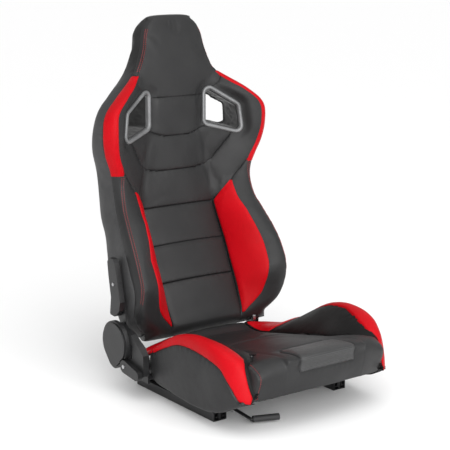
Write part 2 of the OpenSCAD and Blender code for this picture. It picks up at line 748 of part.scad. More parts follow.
// Hoop of tube with cross bars, and short stubs out to the two arms
module back_frame() {
    tube_d = frame_d - 4;
    hoop = [for (p = [[200, 180, 66], [520, 180, 46], [602, 104, 74], [655, 56, 78], [886, 44, 28]])
        back_point(section(BACK, p[0]), p[1], p[2])];
    right = [for (p = hoop) [-p[0], p[1], p[2]]];
    color(steel) {
        pipe(concat(hoop, reversed(right)), tube_d);
        for (k = [0.06, 0.9]) {
            p = hoop[0] + k * (hoop[1] - hoop[0]);
            bar_x(-p[0], p[0], p[1], p[2], 16);
        }
        for (k = [0.1, 0.3]) {
            p = hoop[0] + k * (hoop[1] - hoop[0]);
            rod_between([-plate_x + plate_t + 0.3, p[1] - 12, p[2] + 4], [-p[0], p[1], p[2]], 15);
            rod_between([left_hinge_x - 0.3, p[1], p[2]], p, 15);
        }
    }
}
module back_springs() {
    color(steel) for (s = [380, 430, 480, 530]) {
        r = section(BACK, s);
        p = back_point(r, 0, 52);
        translate([-178, p[1], p[2]]) rotate([-r[2], 0, 0]) rotate([90, 0, 0]) rotate([0, 0, -90])
            zigzag(0, 356, 14, 24, 3.5);
    }
}

lower_rail_right();
lower_rail_left();
rail_stops();
ball_cage_right();
ball_cage_left();
upper_rail_right();
upper_rail_left();
seat_frame();
frame_brackets();
frame_bolts();
seat_springs();
cushion_rear_pad();
cushion_thigh_pad();
carbon_insert();
cushion_bolster_right();
cushion_bolster_left();
cushion_band_right();
cushion_band_left();
cushion_side_right();
cushion_side_left();
recliner_plate_right();
recliner_plate_left();
recliner_housing();
recliner_shield();
lever_screw();
pivot_pin_right();
pivot_pin_left();
latch_bearings();
back_frame();
back_springs();
recliner_arm_right();
recliner_arm_left();
recliner_spring();
headrest_pad();
neck_pad();
upper_back_pad();
lumbar_pad_upper();
lumbar_pad_middle();
lumbar_pad_lower();
back_bolster_right();
back_bolster_left();
shoulder_band_right();
shoulder_band_left();
lumbar_accent_right();
lumbar_accent_left();
rear_cover();
harness_bezel_right();
harness_bezel_left();
harness_liner_right();
harness_liner_left();
hinge_cover();
hinge_cover_screw();
recliner_lever();
sync_rod();
slider_rod();
slider_grip();
latch_left();
latch_link();
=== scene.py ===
import json
import math

import bpy
import numpy as np
from mathutils import Matrix, Vector, noise
from mathutils.bvhtree import BVHTree
from mathutils.kdtree import KDTree


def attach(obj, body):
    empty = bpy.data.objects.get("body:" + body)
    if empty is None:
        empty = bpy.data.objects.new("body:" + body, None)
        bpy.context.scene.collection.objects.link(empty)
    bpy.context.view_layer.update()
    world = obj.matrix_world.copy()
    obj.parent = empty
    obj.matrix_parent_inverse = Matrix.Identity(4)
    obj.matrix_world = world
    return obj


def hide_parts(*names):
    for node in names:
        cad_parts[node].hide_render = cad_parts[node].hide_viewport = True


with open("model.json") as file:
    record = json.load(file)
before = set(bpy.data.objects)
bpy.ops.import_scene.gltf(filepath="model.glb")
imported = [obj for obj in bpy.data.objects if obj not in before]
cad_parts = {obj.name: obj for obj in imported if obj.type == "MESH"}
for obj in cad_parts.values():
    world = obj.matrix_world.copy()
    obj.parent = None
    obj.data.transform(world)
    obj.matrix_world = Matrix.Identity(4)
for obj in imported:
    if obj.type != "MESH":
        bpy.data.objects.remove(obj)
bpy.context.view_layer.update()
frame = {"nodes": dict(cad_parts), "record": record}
MM = 0.001
SIDE_WORDS = (-1, "right"), (1, "left")

# ---------------------------------------------------------------- section tables, in millimetres
# height, y of the middle of the front, lean, then x and depth of the groove, the bolster's crest,
# the side seam and the rear corner, and the depth of the middle of the back
BACK = np.array([
    [146, 133, 27, 112, 12, 172, 0, 194, 24, 172, 82, 98],
    [165, 138, 27, 114, 13, 205, -24, 221, 10, 205, 84, 104],
    [192, 151, 27, 115, 13, 224, -50, 234, -8, 221, 86, 108],
    [233, 171, 27, 116, 13, 228, -82, 239, -44, 228, 80, 110],
    [281, 196, 27, 117, 13, 228, -88, 241, -52, 229, 74, 110],
    [331, 221, 27, 118, 13, 224, -82, 237, -48, 225, 66, 108],
    [392, 252, 24, 117, 13, 214, -68, 228, -38, 219, 54, 104],
    [440, 271, 18, 114, 13, 205, -55, 221, -28, 218, 56, 102],
    [500, 281, 8, 108, 13, 200, -47, 221, -24, 221, 48, 104],
    [550, 284, 2, 100, 12, 205, -52, 230, -30, 230, 40, 106],
    [600, 284, 0, 92, 11, 222, -62, 250, -34, 245, 30, 106],
    [650, 283, 0, 84, 8, 228, -71, 258, -38, 249, 20, 106],
    [702, 280, 0, 81, 7, 225, -66, 246, -34, 236, 18, 104],
    [742, 279, 0, 84, 6, 184, -45, 203, -20, 194, 34, 102],
    [790, 277, 0, 108, 4, 126, 5, 134, 18, 122, 78, 102],
    [844, 284, 0, 91, 3, 98, 8, 104, 28, 100, 72, 84],
    [900, 292, 0, 76, 3, 86, 8, 93, 24, 93, 60, 68],
    [926, 299, 0, 60, 3, 76, 7, 85, 18, 85, 48, 55],
    [936, 306, 0, 38, 2, 55, 5, 66, 13, 63, 34, 40]], float)
# y, height of the middle, then x and z of the groove, crest and band edge, skirt x, lower edge
SEAT = np.array([
    [-318, 180, 186, 112, 197, 109, 208, 86, 207, 80],
    [-300, 184, 184, 152, 210, 148, 226, 89, 224, 79],
    [-280, 184, 176, 172, 220, 177, 239, 120, 237, 70],
    [-245, 180, 152, 174, 228, 199, 247, 160, 245, 55],
    [-200, 171, 124, 165, 232, 211, 250, 174, 249, 44],
    [-140, 158, 121, 151, 233, 213, 251, 181, 250, 41],
    [-80, 146, 121, 139, 233, 200, 251, 178, 250, 43],
    [-20, 133, 121, 127, 231, 173, 249, 155, 248, 46],
    [40, 120, 121, 114, 228, 138, 245, 126, 243, 50],
    [100, 113, 119, 108, 220, 108, 236, 100, 234, 84],
    [142, 125, 116, 119, 204, 100, 220, 94, 220, 84]], float)
# x, then y and z of the front of the top, the roll, the lower front and the upper rear
THIGH = np.array([
    [0, -318, 186, -345, 160, -338, 98, -51, 140],
    [60, -317, 186, -344, 160, -337, 97, -51, 139],
    [110, -315, 184, -342, 158, -331, 95, -51, 135],
    [119, -314, 183, -341, 158, -330, 94, -51, 134],
    [123, -313, 183, -341, 157, -329, 94, -222, 169],
    [160, -306, 179, -336, 154, -320, 90, -248, 174],
    [189, -299, 172, -332, 148, -312, 88, -276, 170],
    [197, -296, 168, -328, 145, -309, 86, -280, 167]], float)

# Half-length of the seam behind the thigh pad and the y where it runs
REAR_SEAM_X, REAR_SEAM_Y = 119, -51

# Harness bezel: outline in its own plane, corner radius, ring width, and where the plane stands
BEZEL = np.array([[-58, 84], [-58, -38], [61, -69], [49, 19]], float)
BEZEL_R, BEZEL_W = 20.0, 11.0
BEZEL_AT = np.array([137, 267, 681], float)
BEZEL_TURN, TUNNEL_TURN = math.radians(22), math.radians(12)

# Seams of the backrest's front as (height, v): v is 0 in the middle, 1 at the groove,
# 2 at the bolster's crest and 3 at the side seam
HEAD_SIDE = [(930, 1.92), (914, 1.98), (869, 2.12), (821, 2.16), (792, 2.1)]
HEAD_FOOT = [(792, 2.1), (770, 1.62), (748, 1.27), (727, 1.05)]
NECK_TOP = [(727, -1.05), (725, 0), (727, 1.05)]
NECK_SIDE = [(727, 1.05), (684, 1.01), (641, 0.98)]
NECK_FOOT = [(641, -0.98), (632, -0.8), (624, -0.45), (623, 0), (624, 0.45), (632, 0.8), (641, 0.98)]
VEE_SIDE = [(618, 1.5), (600, 1.42), (575, 1.3), (552, 1.15), (538, 0.95), (533, 0.7), (531, 0.4), (531, 0)]
SEAM_1, SEAM_2, SEAM_3 = 438, 345, 256
GROOVE = [(148, 1), (240, 1), (345, 1), (438, 1)]
DIAGONAL = [(438, 1.0), (464, 1.32), (488, 1.55), (512, 1.73), (539, 1.89), (546, 1.98)]
CREST = [(546, 1.98), (521, 2.06), (491, 2.13), (446, 2.13), (398, 2.08), (335, 2.06), (284, 2.10),
    (242, 2.16), (206, 2.28), (176, 2.55)]
LEAF = [(152, 0.04, 0.14), (170, 0.03, 0.33), (188, 0.03, 0.46), (221, 0.03, 0.52), (251, 0.03, 0.54),
    (308, 0.03, 0.535), (392, 0.03, 0.525), (436, 0.03, 0.53), (462, 0.27, 0.55), (486, 0.50, 0.56)]
SHOULDER = [(536, 0.9, 1.98), (566, 0.93, 1.95), (602, 0.95, 1.86), (650, 0.98, 1.84), (701, 0.95, 1.93),
    (743, 0.92, 1.98), (772, 0.74, 1.99), (789, 0.62, 1.99)]


# ---------------------------------------------------------------- curves and surfaces

def spline(a, b, c, d, t):
    return 0.5 * (2 * b + (c - a) * t + (2 * a - 5 * b + 4 * c - d) * t * t
        + (3 * b - a - 3 * c + d) * t ** 3)


def section(table, s):
    """All columns of a table at station s."""
    i = int(np.clip(np.searchsorted(table[:, 0], s) - 1, 0, len(table) - 2))
    t = (s - table[i, 0]) / (table[i + 1, 0] - table[i, 0])
    return spline(table[max(i - 1, 0)], table[i], table[i + 1], table[min(i + 2, len(table) - 1)], t)


def along(points, t):
    """Point at t from 0 to len(points) - 1 on the smooth line through points."""
    n = len(points) - 1
    i = min(int(t), n - 1)
    p = [np.asarray(points[k], float) for k in (max(i - 1, 0), i, i + 1, min(i + 2, n))]
    return spline(*p, t - i)


def smooth_path(points, step=0.05):
    n = len(points) - 1
    return [along(points, t) for t in np.arange(0, n + 1e-9, step)]


def smoothstep(a, b, x):
    t = np.clip((np.asarray(x, float) - a) / (b - a), 0, 1)
    return t * t * (3 - 2 * t)


def back_point(r, x, d):
    lean = math.radians(r[2])
    return np.array([x, r[1] + d * math.cos(lean), r[0] - d * math.sin(lean)])


# Ridge of the bolster's inner wall: height, then shares of the way out and forward to the crest
WALL = np.array([[146, 0.50, 0.60], [192, 0.52, 0.76], [240, 0.54, 0.84], [300, 0.55, 0.87],
    [345, 0.50, 0.92], [392, 0.47, 0.95], [440, 0.45, 0.84], [470, 0.45, 0.72], [500, 0.47, 0.60],
    [600, 0.50, 0.50]])


def front_xd(r, v):
    """Half-width and depth of the backrest's front at v from 0 to 3."""
    if v <= 1:
        return np.array([v * r[3], r[4] * v ** 2.18])
    share = np.array([np.interp(r[0], WALL[:, 0], WALL[:, i]) for i in (1, 2)])
    groove, crest, seam = r[3:5], r[5:7], r[7:9]
    wall = groove + share * (crest - groove)
    u = min(v, 3) - 1
    return along([groove, wall, crest, seam], 2 * u if u < 1 else 1 + u)


def rear_xd(r, w):
    """The same for the back, at w from 0 at the side seam to 3 in the middle."""
    corner = [r[9], r[10]]
    inner = [0.55 * r[9], r[10] + 0.85 * (r[11] - r[10])]
    return along([r[7:9], corner, inner, [0, r[11]]], w)


def back_front(s, v, lift=0.0):
    r = section(BACK, s)
    x, d = front_xd(r, abs(v))
    return back_point(r, math.copysign(x, v) if v else 0.0, d - lift)


def bolster_top(y, u):
    """Cushion bolster at y, u from 0 at the groove over 1 at the crest to 2 at the band's edge."""
    r = section(SEAT, y)
    x, z = along([r[2:4], r[4:6], r[6:8]], u)
    return np.array([x, y, z])


def thigh_point(x, k):
    """Thigh pad at x, k from 0 at the rear seam over 1 and 2 round the roll to 3 at the lower edge."""
    r = section(THIGH, abs(x))
    if abs(x) < REAR_SEAM_X:
        r[7] = REAR_SEAM_Y
    y, z = along([r[7:9], r[1:3], r[3:5], r[5:7]], k)
    return np.array([x, y, z])


def bezel_sd(p, turn, grow=0.0):
    """Distance outside the bezel's outline, in its plane, for points on the +X side."""
    q = np.asarray(p, float) - BEZEL_AT
    flat = np.stack([q[..., 0] * math.cos(turn) - q[..., 1] * math.sin(turn), q[..., 2]], -1)
    inner = inset(BEZEL, BEZEL_R)
    best = np.full(flat.shape[:-1], 1e9)
    inside = np.full(flat.shape[:-1], -1e9)
    for a, b in zip(inner, np.roll(inner, -1, 0)):
        e = b - a
        t = np.clip(((flat - a) @ e) / (e @ e), 0, 1)
        best = np.minimum(best, np.linalg.norm(flat - a - t[..., None] * e, axis=-1))
        n = np.array([-e[1], e[0]]) / np.linalg.norm(e)
        inside = np.maximum(inside, (flat - a) @ -n)
    return np.where(inside < 0, inside, best) - BEZEL_R - grow


def inset(poly, d):
    """A convex outline moved inwards by d."""
    out = []
    for i in range(len(poly)):
        a, b, c = poly[i - 1], poly[i], poly[(i + 1) % len(poly)]
        n1 = np.array([-(b - a)[1], (b - a)[0]]) / np.linalg.norm(b - a)
        n2 = np.array([-(c - b)[1], (c - b)[0]]) / np.linalg.norm(c - b)
        k = d / (1 + n1 @ n2)
        out.append(b + k * (n1 + n2))
    return np.array(out)


# ---------------------------------------------------------------- mesh helpers

def mesh_object(name, points_mm, faces, smooth=True):
    mesh = bpy.data.meshes.new(name)
    mesh.from_pydata([tuple(p) for p in np.asarray(points_mm) * MM], [], faces)
    mesh.update()
    if smooth:
        mesh.polygons.foreach_set("use_smooth", [True] * len(mesh.polygons))
    obj = bpy.data.objects.new(name, mesh)
    bpy.context.scene.collection.objects.link(obj)
    return obj


def grid_faces(rows, cols, flip=False, wrap=False):
    faces = []
    for i in range(rows - 1):
        for j in range(cols if wrap else cols - 1):
            k = (j + 1) % cols
            f = (i * cols + j, i * cols + k, (i + 1) * cols + k, (i + 1) * cols + j)
            faces.append(f[::-1] if flip else f)
    return faces


def grid_object(name, rows, side=1, wrap=False):
    """Surface through rows of points; on the -X side its faces are turned round."""
    rows = np.asarray(rows)
    return mesh_object(name, rows.reshape(-1, 3), grid_faces(*rows.shape[:2], flip=side < 0, wrap=wrap))


def coords(obj):
    co = np.empty(len(obj.data.vertices) * 3)
    obj.data.vertices.foreach_get("co", co)
    return co.reshape(-1, 3)


def normals(obj):
    no = np.empty(len(obj.data.vertices) * 3)
    obj.data.vertex_normals.foreach_get("vector", no)
    return no.reshape(-1, 3)


def set_coords(obj, co):
    obj.data.vertices.foreach_set("co", np.asarray(co).ravel())
    obj.data.update()


def store(obj, name, values):
    a = obj.data.attributes.new(name, "FLOAT", "POINT")
    a.data.foreach_set("value", np.asarray(values, float).ravel())


def stored(obj, name):
    out = np.empty(len(obj.data.vertices))
    obj.data.attributes[name].data.foreach_get("value", out)
    return out


def apply_modifier(obj, kind, **settings):
    """Adds a modifier, applies it and leaves the plain result."""
    m = obj.modifiers.new(kind.lower(), kind)
    for key, value in settings.items():
        setattr(m, key, value)
    graph = bpy.context.evaluated_depsgraph_get()
    mesh = bpy.data.meshes.new_from_object(obj.evaluated_get(graph))
    obj.modifiers.clear()
    obj.data = mesh
    return obj


def inflate(obj, pinned, pressure=4.0, cap=0.005, frames=14):
    """Cloth held at the seams and pushed out by pressure; no point moves more than cap."""
    group = obj.vertex_groups.new(name="seams")
    group.add([int(i) for i in np.nonzero(pinned)[0]], 1.0, "REPLACE")
    before = coords(obj)
    m = obj.modifiers.new("cloth", "CLOTH")
    s = m.settings
    s.quality = 3
    s.mass = 0.3
    s.tension_stiffness = s.compression_stiffness = 25
    s.bending_stiffness = 2.0
    s.use_pressure = True
    s.uniform_pressure_force = pressure
    s.vertex_group_mass = group.name
    s.effector_weights.gravity = 0
    m.collision_settings.use_collision = False
    m.point_cache.frame_start, m.point_cache.frame_end = 1, frames
    scene = bpy.context.scene
    for f in range(1, frames + 1):
        scene.frame_set(f)
    graph = bpy.context.evaluated_depsgraph_get()
    after = np.empty(len(before) * 3)
    obj.evaluated_get(graph).data.vertices.foreach_get("co", after)
    obj.modifiers.clear()
    obj.vertex_groups.clear()
    scene.frame_set(1)
    move = after.reshape(-1, 3) - before
    length = np.linalg.norm(move, axis=1, keepdims=True) + 1e-9
    set_coords(obj, before + move / length * cap * np.tanh(length / cap))


def both_sides(line):
    line = np.asarray(line, float)
    return [line, line * np.array([-1, 1, 1])]


class Seams:
    """Sewn lines in the row frame, in millimetres, and how far points are from them."""

    def __init__(self):
        self.points, self.run, self.depth = [], [], []

    def add(self, line, depth=3.0):
        line = np.asarray(line, float)
        run = 0.0
        for a, b in zip(line[:-1], line[1:]):
            n = max(1, int(np.linalg.norm(b - a) / 1.5))
            for k in range(n):
                self.points.append(a + (b - a) * k / n)
                self.run.append(run + np.linalg.norm(b - a) * k / n)
                self.depth.append(depth)
            run += np.linalg.norm(b - a)

    def add_pair(self, line, depth):
        for one in both_sides(line):
            self.add(one, depth)

    def near(self, co_mm):
        tree = KDTree(len(self.points))
        for i, p in enumerate(self.points):
            tree.insert(p, i)
        tree.balance()
        found = [tree.find(p) for p in co_mm]
        index = np.array([f[1] for f in found])
        return np.array([f[2] for f in found]), np.array(self.run)[index], np.array(self.depth)[index]


def sew(obj, seams, wide=9.0, narrow=2.4, pucker=0.5, grain=0.35):
    """Sinks the seams into the cover, puckers it beside them and adds faint creases."""
    co, no = coords(obj) / MM, normals(obj)
    dist, run, depth = seams.near(co)
    sink = depth * (0.62 * np.exp(-(dist / narrow) ** 2) + 0.38 * np.exp(-(dist / wide) ** 2))
    wave = np.array([noise.noise(Vector((r / 9.0, d / 30.0, 3.1))) for r, d in zip(run, dist)])
    sink += pucker * wave * np.exp(-((dist - 5) / 8.0) ** 2) * 1.6
    crease = np.array([noise.noise(Vector(p) / 46.0) + 0.4 * noise.noise(Vector(p) / 17.0) for p in co])
    co = co + no * (grain * crease - sink)[:, None]
    set_coords(obj, co * MM)


def thicken(obj, t=4.0):
    """Closes a cover by folding its edges back t millimetres."""
    return apply_modifier(obj, "SOLIDIFY", thickness=t * MM, offset=-1.0, use_rim=True)


def split(obj, labels, names):
    """Cuts obj into one object per label, taken per face from its points."""
    poly = np.array([p.vertices[:] for p in obj.data.polygons if len(p.vertices) == 4])
    face = labels(poly)
    co = coords(obj)
    out = {}
    for label, name in names.items():
        mine = poly[face == label]
        if len(mine) == 0:
            continue
        used, index = np.unique(mine, return_inverse=True)
        out[name] = mesh_object(name, co[used] / MM, index.reshape(-1, 4).tolist())
    bpy.data.objects.remove(obj)
    return out


def surface_tree(objs):
    verts, faces = [], []
    for o in objs:
        base = len(verts)
        verts += [tuple(c) for c in coords(o) / MM]
        faces += [tuple(base + i for i in p.vertices) for p in o.data.polygons]
    return BVHTree.FromPolygons(verts, faces)


# Stitch as rings along it: place, width and height, in shares of its length and radius. Then its turn
# off the seam in radians, the sides of its section, and how far away the cover may be, in millimetres
STITCH = ((-0.5, 0.25, -0.9), (-0.38, 0.85, 0.2), (0, 1.0, 0.5), (0.38, 0.85, 0.2), (0.5, 0.25, -0.9))
TWIST, SIDES, REACH = 0.12, 6, 25


def thread(name, rows, tree, guide, pitch=5.6, length=4.0, radius=0.5, sink=0.15):
    """Stitches along lines of points, laid on the sewn surface in tree and squared up by the smooth
    one in guide. rows holds (line, offset) pairs."""
    verts, faces = [], []
    ring = [(math.cos(a), math.sin(a)) for a in np.arange(SIDES) * 2 * math.pi / SIDES]
    for line, offset in rows:
        line = np.asarray(line, float)
        seg = np.linalg.norm(np.diff(line, axis=0), axis=1)
        total = np.concatenate([[0], np.cumsum(seg)])
        count = int(total[-1] / pitch)
        for k in range(count):
            at = (k + 0.5) * pitch
            p = np.array([np.interp(at, total, line[:, c]) for c in range(3)])
            q = np.array([np.interp(at + 1.0, total, line[:, c]) for c in range(3)])
            t = Vector(q - p).normalized()
            hit, normal, _, _ = guide.find_nearest(Vector(p), REACH)
            if hit is None:
                continue
            side = normal.cross(t).normalized()
            hit, normal, _, _ = guide.find_nearest(hit + side * offset, REACH)
            if hit is None:
                continue
            hit = tree.ray_cast(hit + normal * 12, -normal, 30)[0]
            if hit is None:
                continue
            t = (t - normal * t.dot(normal)).normalized()
            t = Matrix.Rotation(TWIST * math.copysign(1, offset or 1), 3, normal) @ t
            side = normal.cross(t)
            base = len(verts)
            for f, w, h in STITCH:
                c = hit + t * (f * length) + normal * (h * radius - sink)
                for a, b in ring:
                    verts.append(tuple(c + side * (a * w * radius) + normal * (b * w * radius)))
            faces += [tuple(base + i for i in f) for f in grid_faces(len(STITCH), SIDES, wrap=True)]
            faces.append(tuple(base + SIDES - 1 - j for j in range(SIDES)))
            faces.append(tuple(base + (len(STITCH) - 1) * SIDES + j for j in range(SIDES)))
    return mesh_object(name, verts, faces)


# ---------------------------------------------------------------- materials

def material(name, base, rough):
    m = bpy.data.materials.new(name)
    m.use_nodes = True
    b = m.node_tree.nodes["Principled BSDF"]
    b.inputs["Base Color"].default_value = (*base, 1)
    b.inputs["Roughness"].default_value = rough
    return m, m.node_tree.nodes, m.node_tree.links, b


def add(nodes, kind, **values):
    n = nodes.new(kind)
    for key, value in values.items():
        if key in n.inputs:
            n.inputs[key].default_value = value
        else:
            setattr(n, key, value)
    return n


def ramp(nodes, links, source, low, high, a, b):
    r = add(nodes, "ShaderNodeMapRange")
    r.inputs["From Min"].default_value, r.inputs["From Max"].default_value = low, high
    r.inputs["To Min"].default_value, r.inputs["To Max"].default_value = a, b
    links.new(source, r.inputs["Value"])
    return r.outputs["Result"]


def mix_colour(nodes, links, factor, a, b):
    m = add(nodes, "ShaderNodeMix", data_type="RGBA")
    links.new(factor, m.inputs["Factor"])
    for socket, value in (("A", a), ("B", b)):
        target = [i for i in m.inputs if i.name == socket and i.type == "RGBA"][0]
        if isinstance(value, tuple):
            target.default_value = (*value, 1)
        else:
            links.new(value, target)
    return [o for o in m.outputs if o.type == "RGBA"][0]


def maths(nodes, links, operation, *values):
    """Math node; each value is a number or a socket."""
    n = add(nodes, "ShaderNodeMath", operation=operation)
    for socket, value in zip(n.inputs, values):
        if isinstance(value, (int, float)):
            socket.default_value = value
        else:
            links.new(value, socket)
    return n.outputs[0]


def relief(nodes, links, shader, height, strength, distance):
    n = add(nodes, "ShaderNodeBump", Strength=strength, Distance=distance)
    links.new(height, n.inputs["Height"])
    links.new(n.outputs[0], shader.inputs["Normal"])


def leather(name, base, worn, rough=0.46, grain=1.0, gloss=0.3, above=None):
    """Grained synthetic leather: pebbled cells, fine pores, slow changes of tone and gloss. With above,
    as two heights and a share, it darkens to that share between them, a painted shade by height."""
    m, nodes, links, b = material(name, base, rough)
    where = add(nodes, "ShaderNodeTexCoord").outputs["Object"]
    cells = add(nodes, "ShaderNodeTexVoronoi", feature="DISTANCE_TO_EDGE", Scale=620.0 / grain)
    warp = add(nodes, "ShaderNodeTexNoise", Scale=210.0, Detail=3.0)
    pores = add(nodes, "ShaderNodeTexNoise", Scale=1500.0 / grain, Detail=2.0)
    cloud = add(nodes, "ShaderNodeTexNoise", Scale=11.0, Detail=4.0)
    for n in (warp, pores, cloud):
        links.new(where, n.inputs["Vector"])
    shift = add(nodes, "ShaderNodeVectorMath", operation="MULTIPLY_ADD")
    shift.inputs[1].default_value = (0.0016,) * 3
    links.new(warp.outputs["Color"], shift.inputs[0])
    links.new(where, shift.inputs[2])
    links.new(shift.outputs[0], cells.inputs["Vector"])
    tone = mix_colour(nodes, links, ramp(nodes, links, cloud.outputs["Fac"], 0.35, 0.7, 0, 1), base, worn)
    crack_and_shade = ramp(nodes, links, cells.outputs["Distance"], 0.0, 0.16, 0.78, 1.0)
    # Painted shade: with above, the grain's darkening is multiplied by a darkening with height, for shade
    # on the upper parts
    if above:
        height_of = add(nodes, "ShaderNodeSeparateXYZ")
        links.new(where, height_of.inputs[0])
        shade = ramp(nodes, links, height_of.outputs[2], above[0], above[1], 1.0, above[2])
        crack_and_shade = maths(nodes, links, "MULTIPLY", crack_and_shade, shade)
    dark = add(nodes, "ShaderNodeVectorMath", operation="SCALE")
    links.new(tone, dark.inputs[0])
    links.new(crack_and_shade, dark.inputs["Scale"])
    links.new(dark.outputs[0], b.inputs["Base Color"])
    gloss_map = ramp(nodes, links, cloud.outputs["Fac"], 0.3, 0.7, rough + 0.05, rough - 0.05)
    links.new(gloss_map, b.inputs["Roughness"])
    pebbles = ramp(nodes, links, cells.outputs["Distance"], 0.0, 0.3, 0, 1)
    height = maths(nodes, links, "MULTIPLY_ADD", pores.outputs["Fac"], 0.35, pebbles)
    relief(nodes, links, b, height, 0.30, 0.0004)
    b.inputs["Specular IOR Level"].default_value = gloss
    return m


# Length of one repeat of the twill, in metres
TWILL = 0.0062


def carbon_weave(name, base, light):
    """Leather embossed with a diagonal twill; the pattern follows the insert's own U and V in metres."""
    m, nodes, links, b = material(name, base, 0.38)
    uv = add(nodes, "ShaderNodeUVMap").outputs["UV"]
    split_uv = add(nodes, "ShaderNodeSeparateXYZ")
    links.new(uv, split_uv.inputs[0])
    waves = []
    for sign in (1, -1):
        run = maths(nodes, links, "MULTIPLY_ADD", split_uv.outputs[1], sign, split_uv.outputs[0])
        turns = maths(nodes, links, "MULTIPLY", run, 2 * math.pi / TWILL)
        waves.append(maths(nodes, links, "SINE", turns))
    cross = maths(nodes, links, "MULTIPLY", *waves)
    hatch = ramp(nodes, links, cross, -0.25, 0.25, 0, 1)
    fine = add(nodes, "ShaderNodeTexNoise", Scale=900.0, Detail=2.0)
    links.new(mix_colour(nodes, links, hatch, base, light), b.inputs["Base Color"])
    links.new(ramp(nodes, links, cross, -0.25, 0.25, 0.52, 0.30), b.inputs["Roughness"])
    height = maths(nodes, links, "MULTIPLY_ADD", fine.outputs["Fac"], 0.3, hatch)
    relief(nodes, links, b, height, 0.55, 0.0006)
    return m


def moulded(name, base, rough, scale=900.0, strength=0.12, metal=0.0):
    """Moulded plastic, paint or plated steel: fine grain, patches of gloss, a little colour change."""
    m, nodes, links, b = material(name, base, rough)
    where = add(nodes, "ShaderNodeTexCoord").outputs["Object"]
    grain = add(nodes, "ShaderNodeTexNoise", Scale=scale, Detail=3.0)
    cloud = add(nodes, "ShaderNodeTexNoise", Scale=24.0, Detail=5.0)
    for n in (grain, cloud):
        links.new(where, n.inputs["Vector"])
    tone = mix_colour(nodes, links, ramp(nodes, links, cloud.outputs["Fac"], 0.42, 0.72, 0, 1),
        base, tuple(min(1, c * 1.35 + 0.004) for c in base))
    links.new(tone, b.inputs["Base Color"])
    gloss_map = ramp(nodes, links, cloud.outputs["Fac"], 0.3, 0.7, rough - 0.07, rough + 0.08)
    links.new(gloss_map, b.inputs["Roughness"])
    relief(nodes, links, b, grain.outputs["Fac"], strength, 0.0003)
    b.inputs["Metallic"].default_value = metal
    return m


def fabric(name, base, light):
    """Thin woven lining."""
    m, nodes, links, b = material(name, base, 0.85)
    where = add(nodes, "ShaderNodeTexCoord").outputs["Object"]
    heights = []
    for direction in ("X", "Z"):
        w = add(nodes, "ShaderNodeTexWave", bands_direction=direction, Scale=160.0, Distortion=1.2)
        links.new(where, w.inputs["Vector"])
        heights.append(w.outputs["Fac"])
    both = maths(nodes, links, "MAXIMUM", *heights)
    links.new(mix_colour(nodes, links, both, base, light), b.inputs["Base Color"])
    relief(nodes, links, b, both, 0.3, 0.0004)
    b.inputs["Sheen Weight"].default_value = 0.3
    return m


BLACK = leather("black leather", (0.017, 0.017, 0.0175), (0.023, 0.023, 0.0235))
DEEP_BLACK = leather("deep black leather", (0.006, 0.0055, 0.0055), (0.009, 0.0085, 0.0085), gloss=0.12)
# Lighter copy of the black leather for the rear cover, as painted light on the backrest's sides; from 0.70
# to 0.80 m up it darkens to 0.3 of that, as painted shade on the head's sides
REAR_BLACK_PAINTED_LIGHT_AND_SHADE = leather("rear cover leather, painted light and shade", (0.040, 0.040, 0.041), (0.055, 0.055, 0.056), rough=0.5,
    grain=1.3, above=(0.70, 0.80, 0.3))
RED = leather("red leather", (0.46, 0.002, 0.006), (0.54, 0.003, 0.009), rough=0.42, gloss=0.10)
CARBON = carbon_weave("carbon-look leather", (0.006, 0.006, 0.006), (0.055, 0.055, 0.056))
# Near-black lining: black fabric, made darker still as painted shade inside the harness openings
LINING = fabric("lining", (0.003, 0.003, 0.003), (0.007, 0.007, 0.007))
SILVER = moulded("satin silver", (0.155, 0.157, 0.16), 0.36, metal=0.35, strength=0.05)
PLASTIC = moulded("black plastic", (0.009, 0.009, 0.0095), 0.42, strength=0.22)
PAINT = moulded("black paint", (0.004, 0.004, 0.0045), 0.36, scale=400.0, strength=0.08)
STEEL = moulded("zinc-plated steel", (0.45, 0.45, 0.46), 0.32, metal=1.0, strength=0.05)
RUBBER = moulded("grip rubber", (0.014, 0.014, 0.015), 0.62, scale=600.0, strength=0.3)
RED_THREAD = moulded("red thread", (0.40, 0.03, 0.035), 0.6, scale=2500.0, strength=0.3)
GREY_THREAD = moulded("grey thread", (0.20, 0.19, 0.19), 0.6, scale=2500.0, strength=0.3)


def finish_piece(obj, mat, body, slot_name, *nodes, soft=False, fill=0.85):
    obj.data.materials.clear()
    obj.data.materials.append(mat)
    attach(obj, body)
    if nodes:
        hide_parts(*nodes)
    return obj


# ---------------------------------------------------------------- backrest, front

def front_line(points):
    return [back_front(s, v) for s, v in smooth_path(points)]


# Rows up the backrest and round its ends, how far its lower lip hangs out, its lowest and highest
# station, and how much the head's top corners are rounded down at what half-width
ROWS, CAP_ROWS = 150, 8
LIP, LIP_SHAPE = 19.0, 0.8
FOOT, TOP = 148, 936
DOME, DOME_X = 9.0, 74
STATIONS = np.linspace(FOOT, TOP, ROWS)
HALF_V = np.concatenate([np.linspace(0, 1, 24), np.linspace(1, 2, 26)[1:], np.linspace(2, 3, 12)[1:]])
COLS_V = np.concatenate([-HALF_V[:0:-1], HALF_V])


def soften_across(line, s):
    """Rounds the groove away above the lumbar pads, where one panel runs across it."""
    amount = float(smoothstep(440, 474, s))
    if amount <= 0:
        return line
    out = line.copy()
    for _ in range(40):
        mid = out.copy()
        mid[1:-1] = 0.25 * out[:-2] + 0.5 * out[1:-1] + 0.25 * out[2:]
        near = np.exp(-((np.abs(COLS_V) - 1.0) / 0.42) ** 2)[:, None] * amount
        out = out * (1 - near) + mid * near
    return out


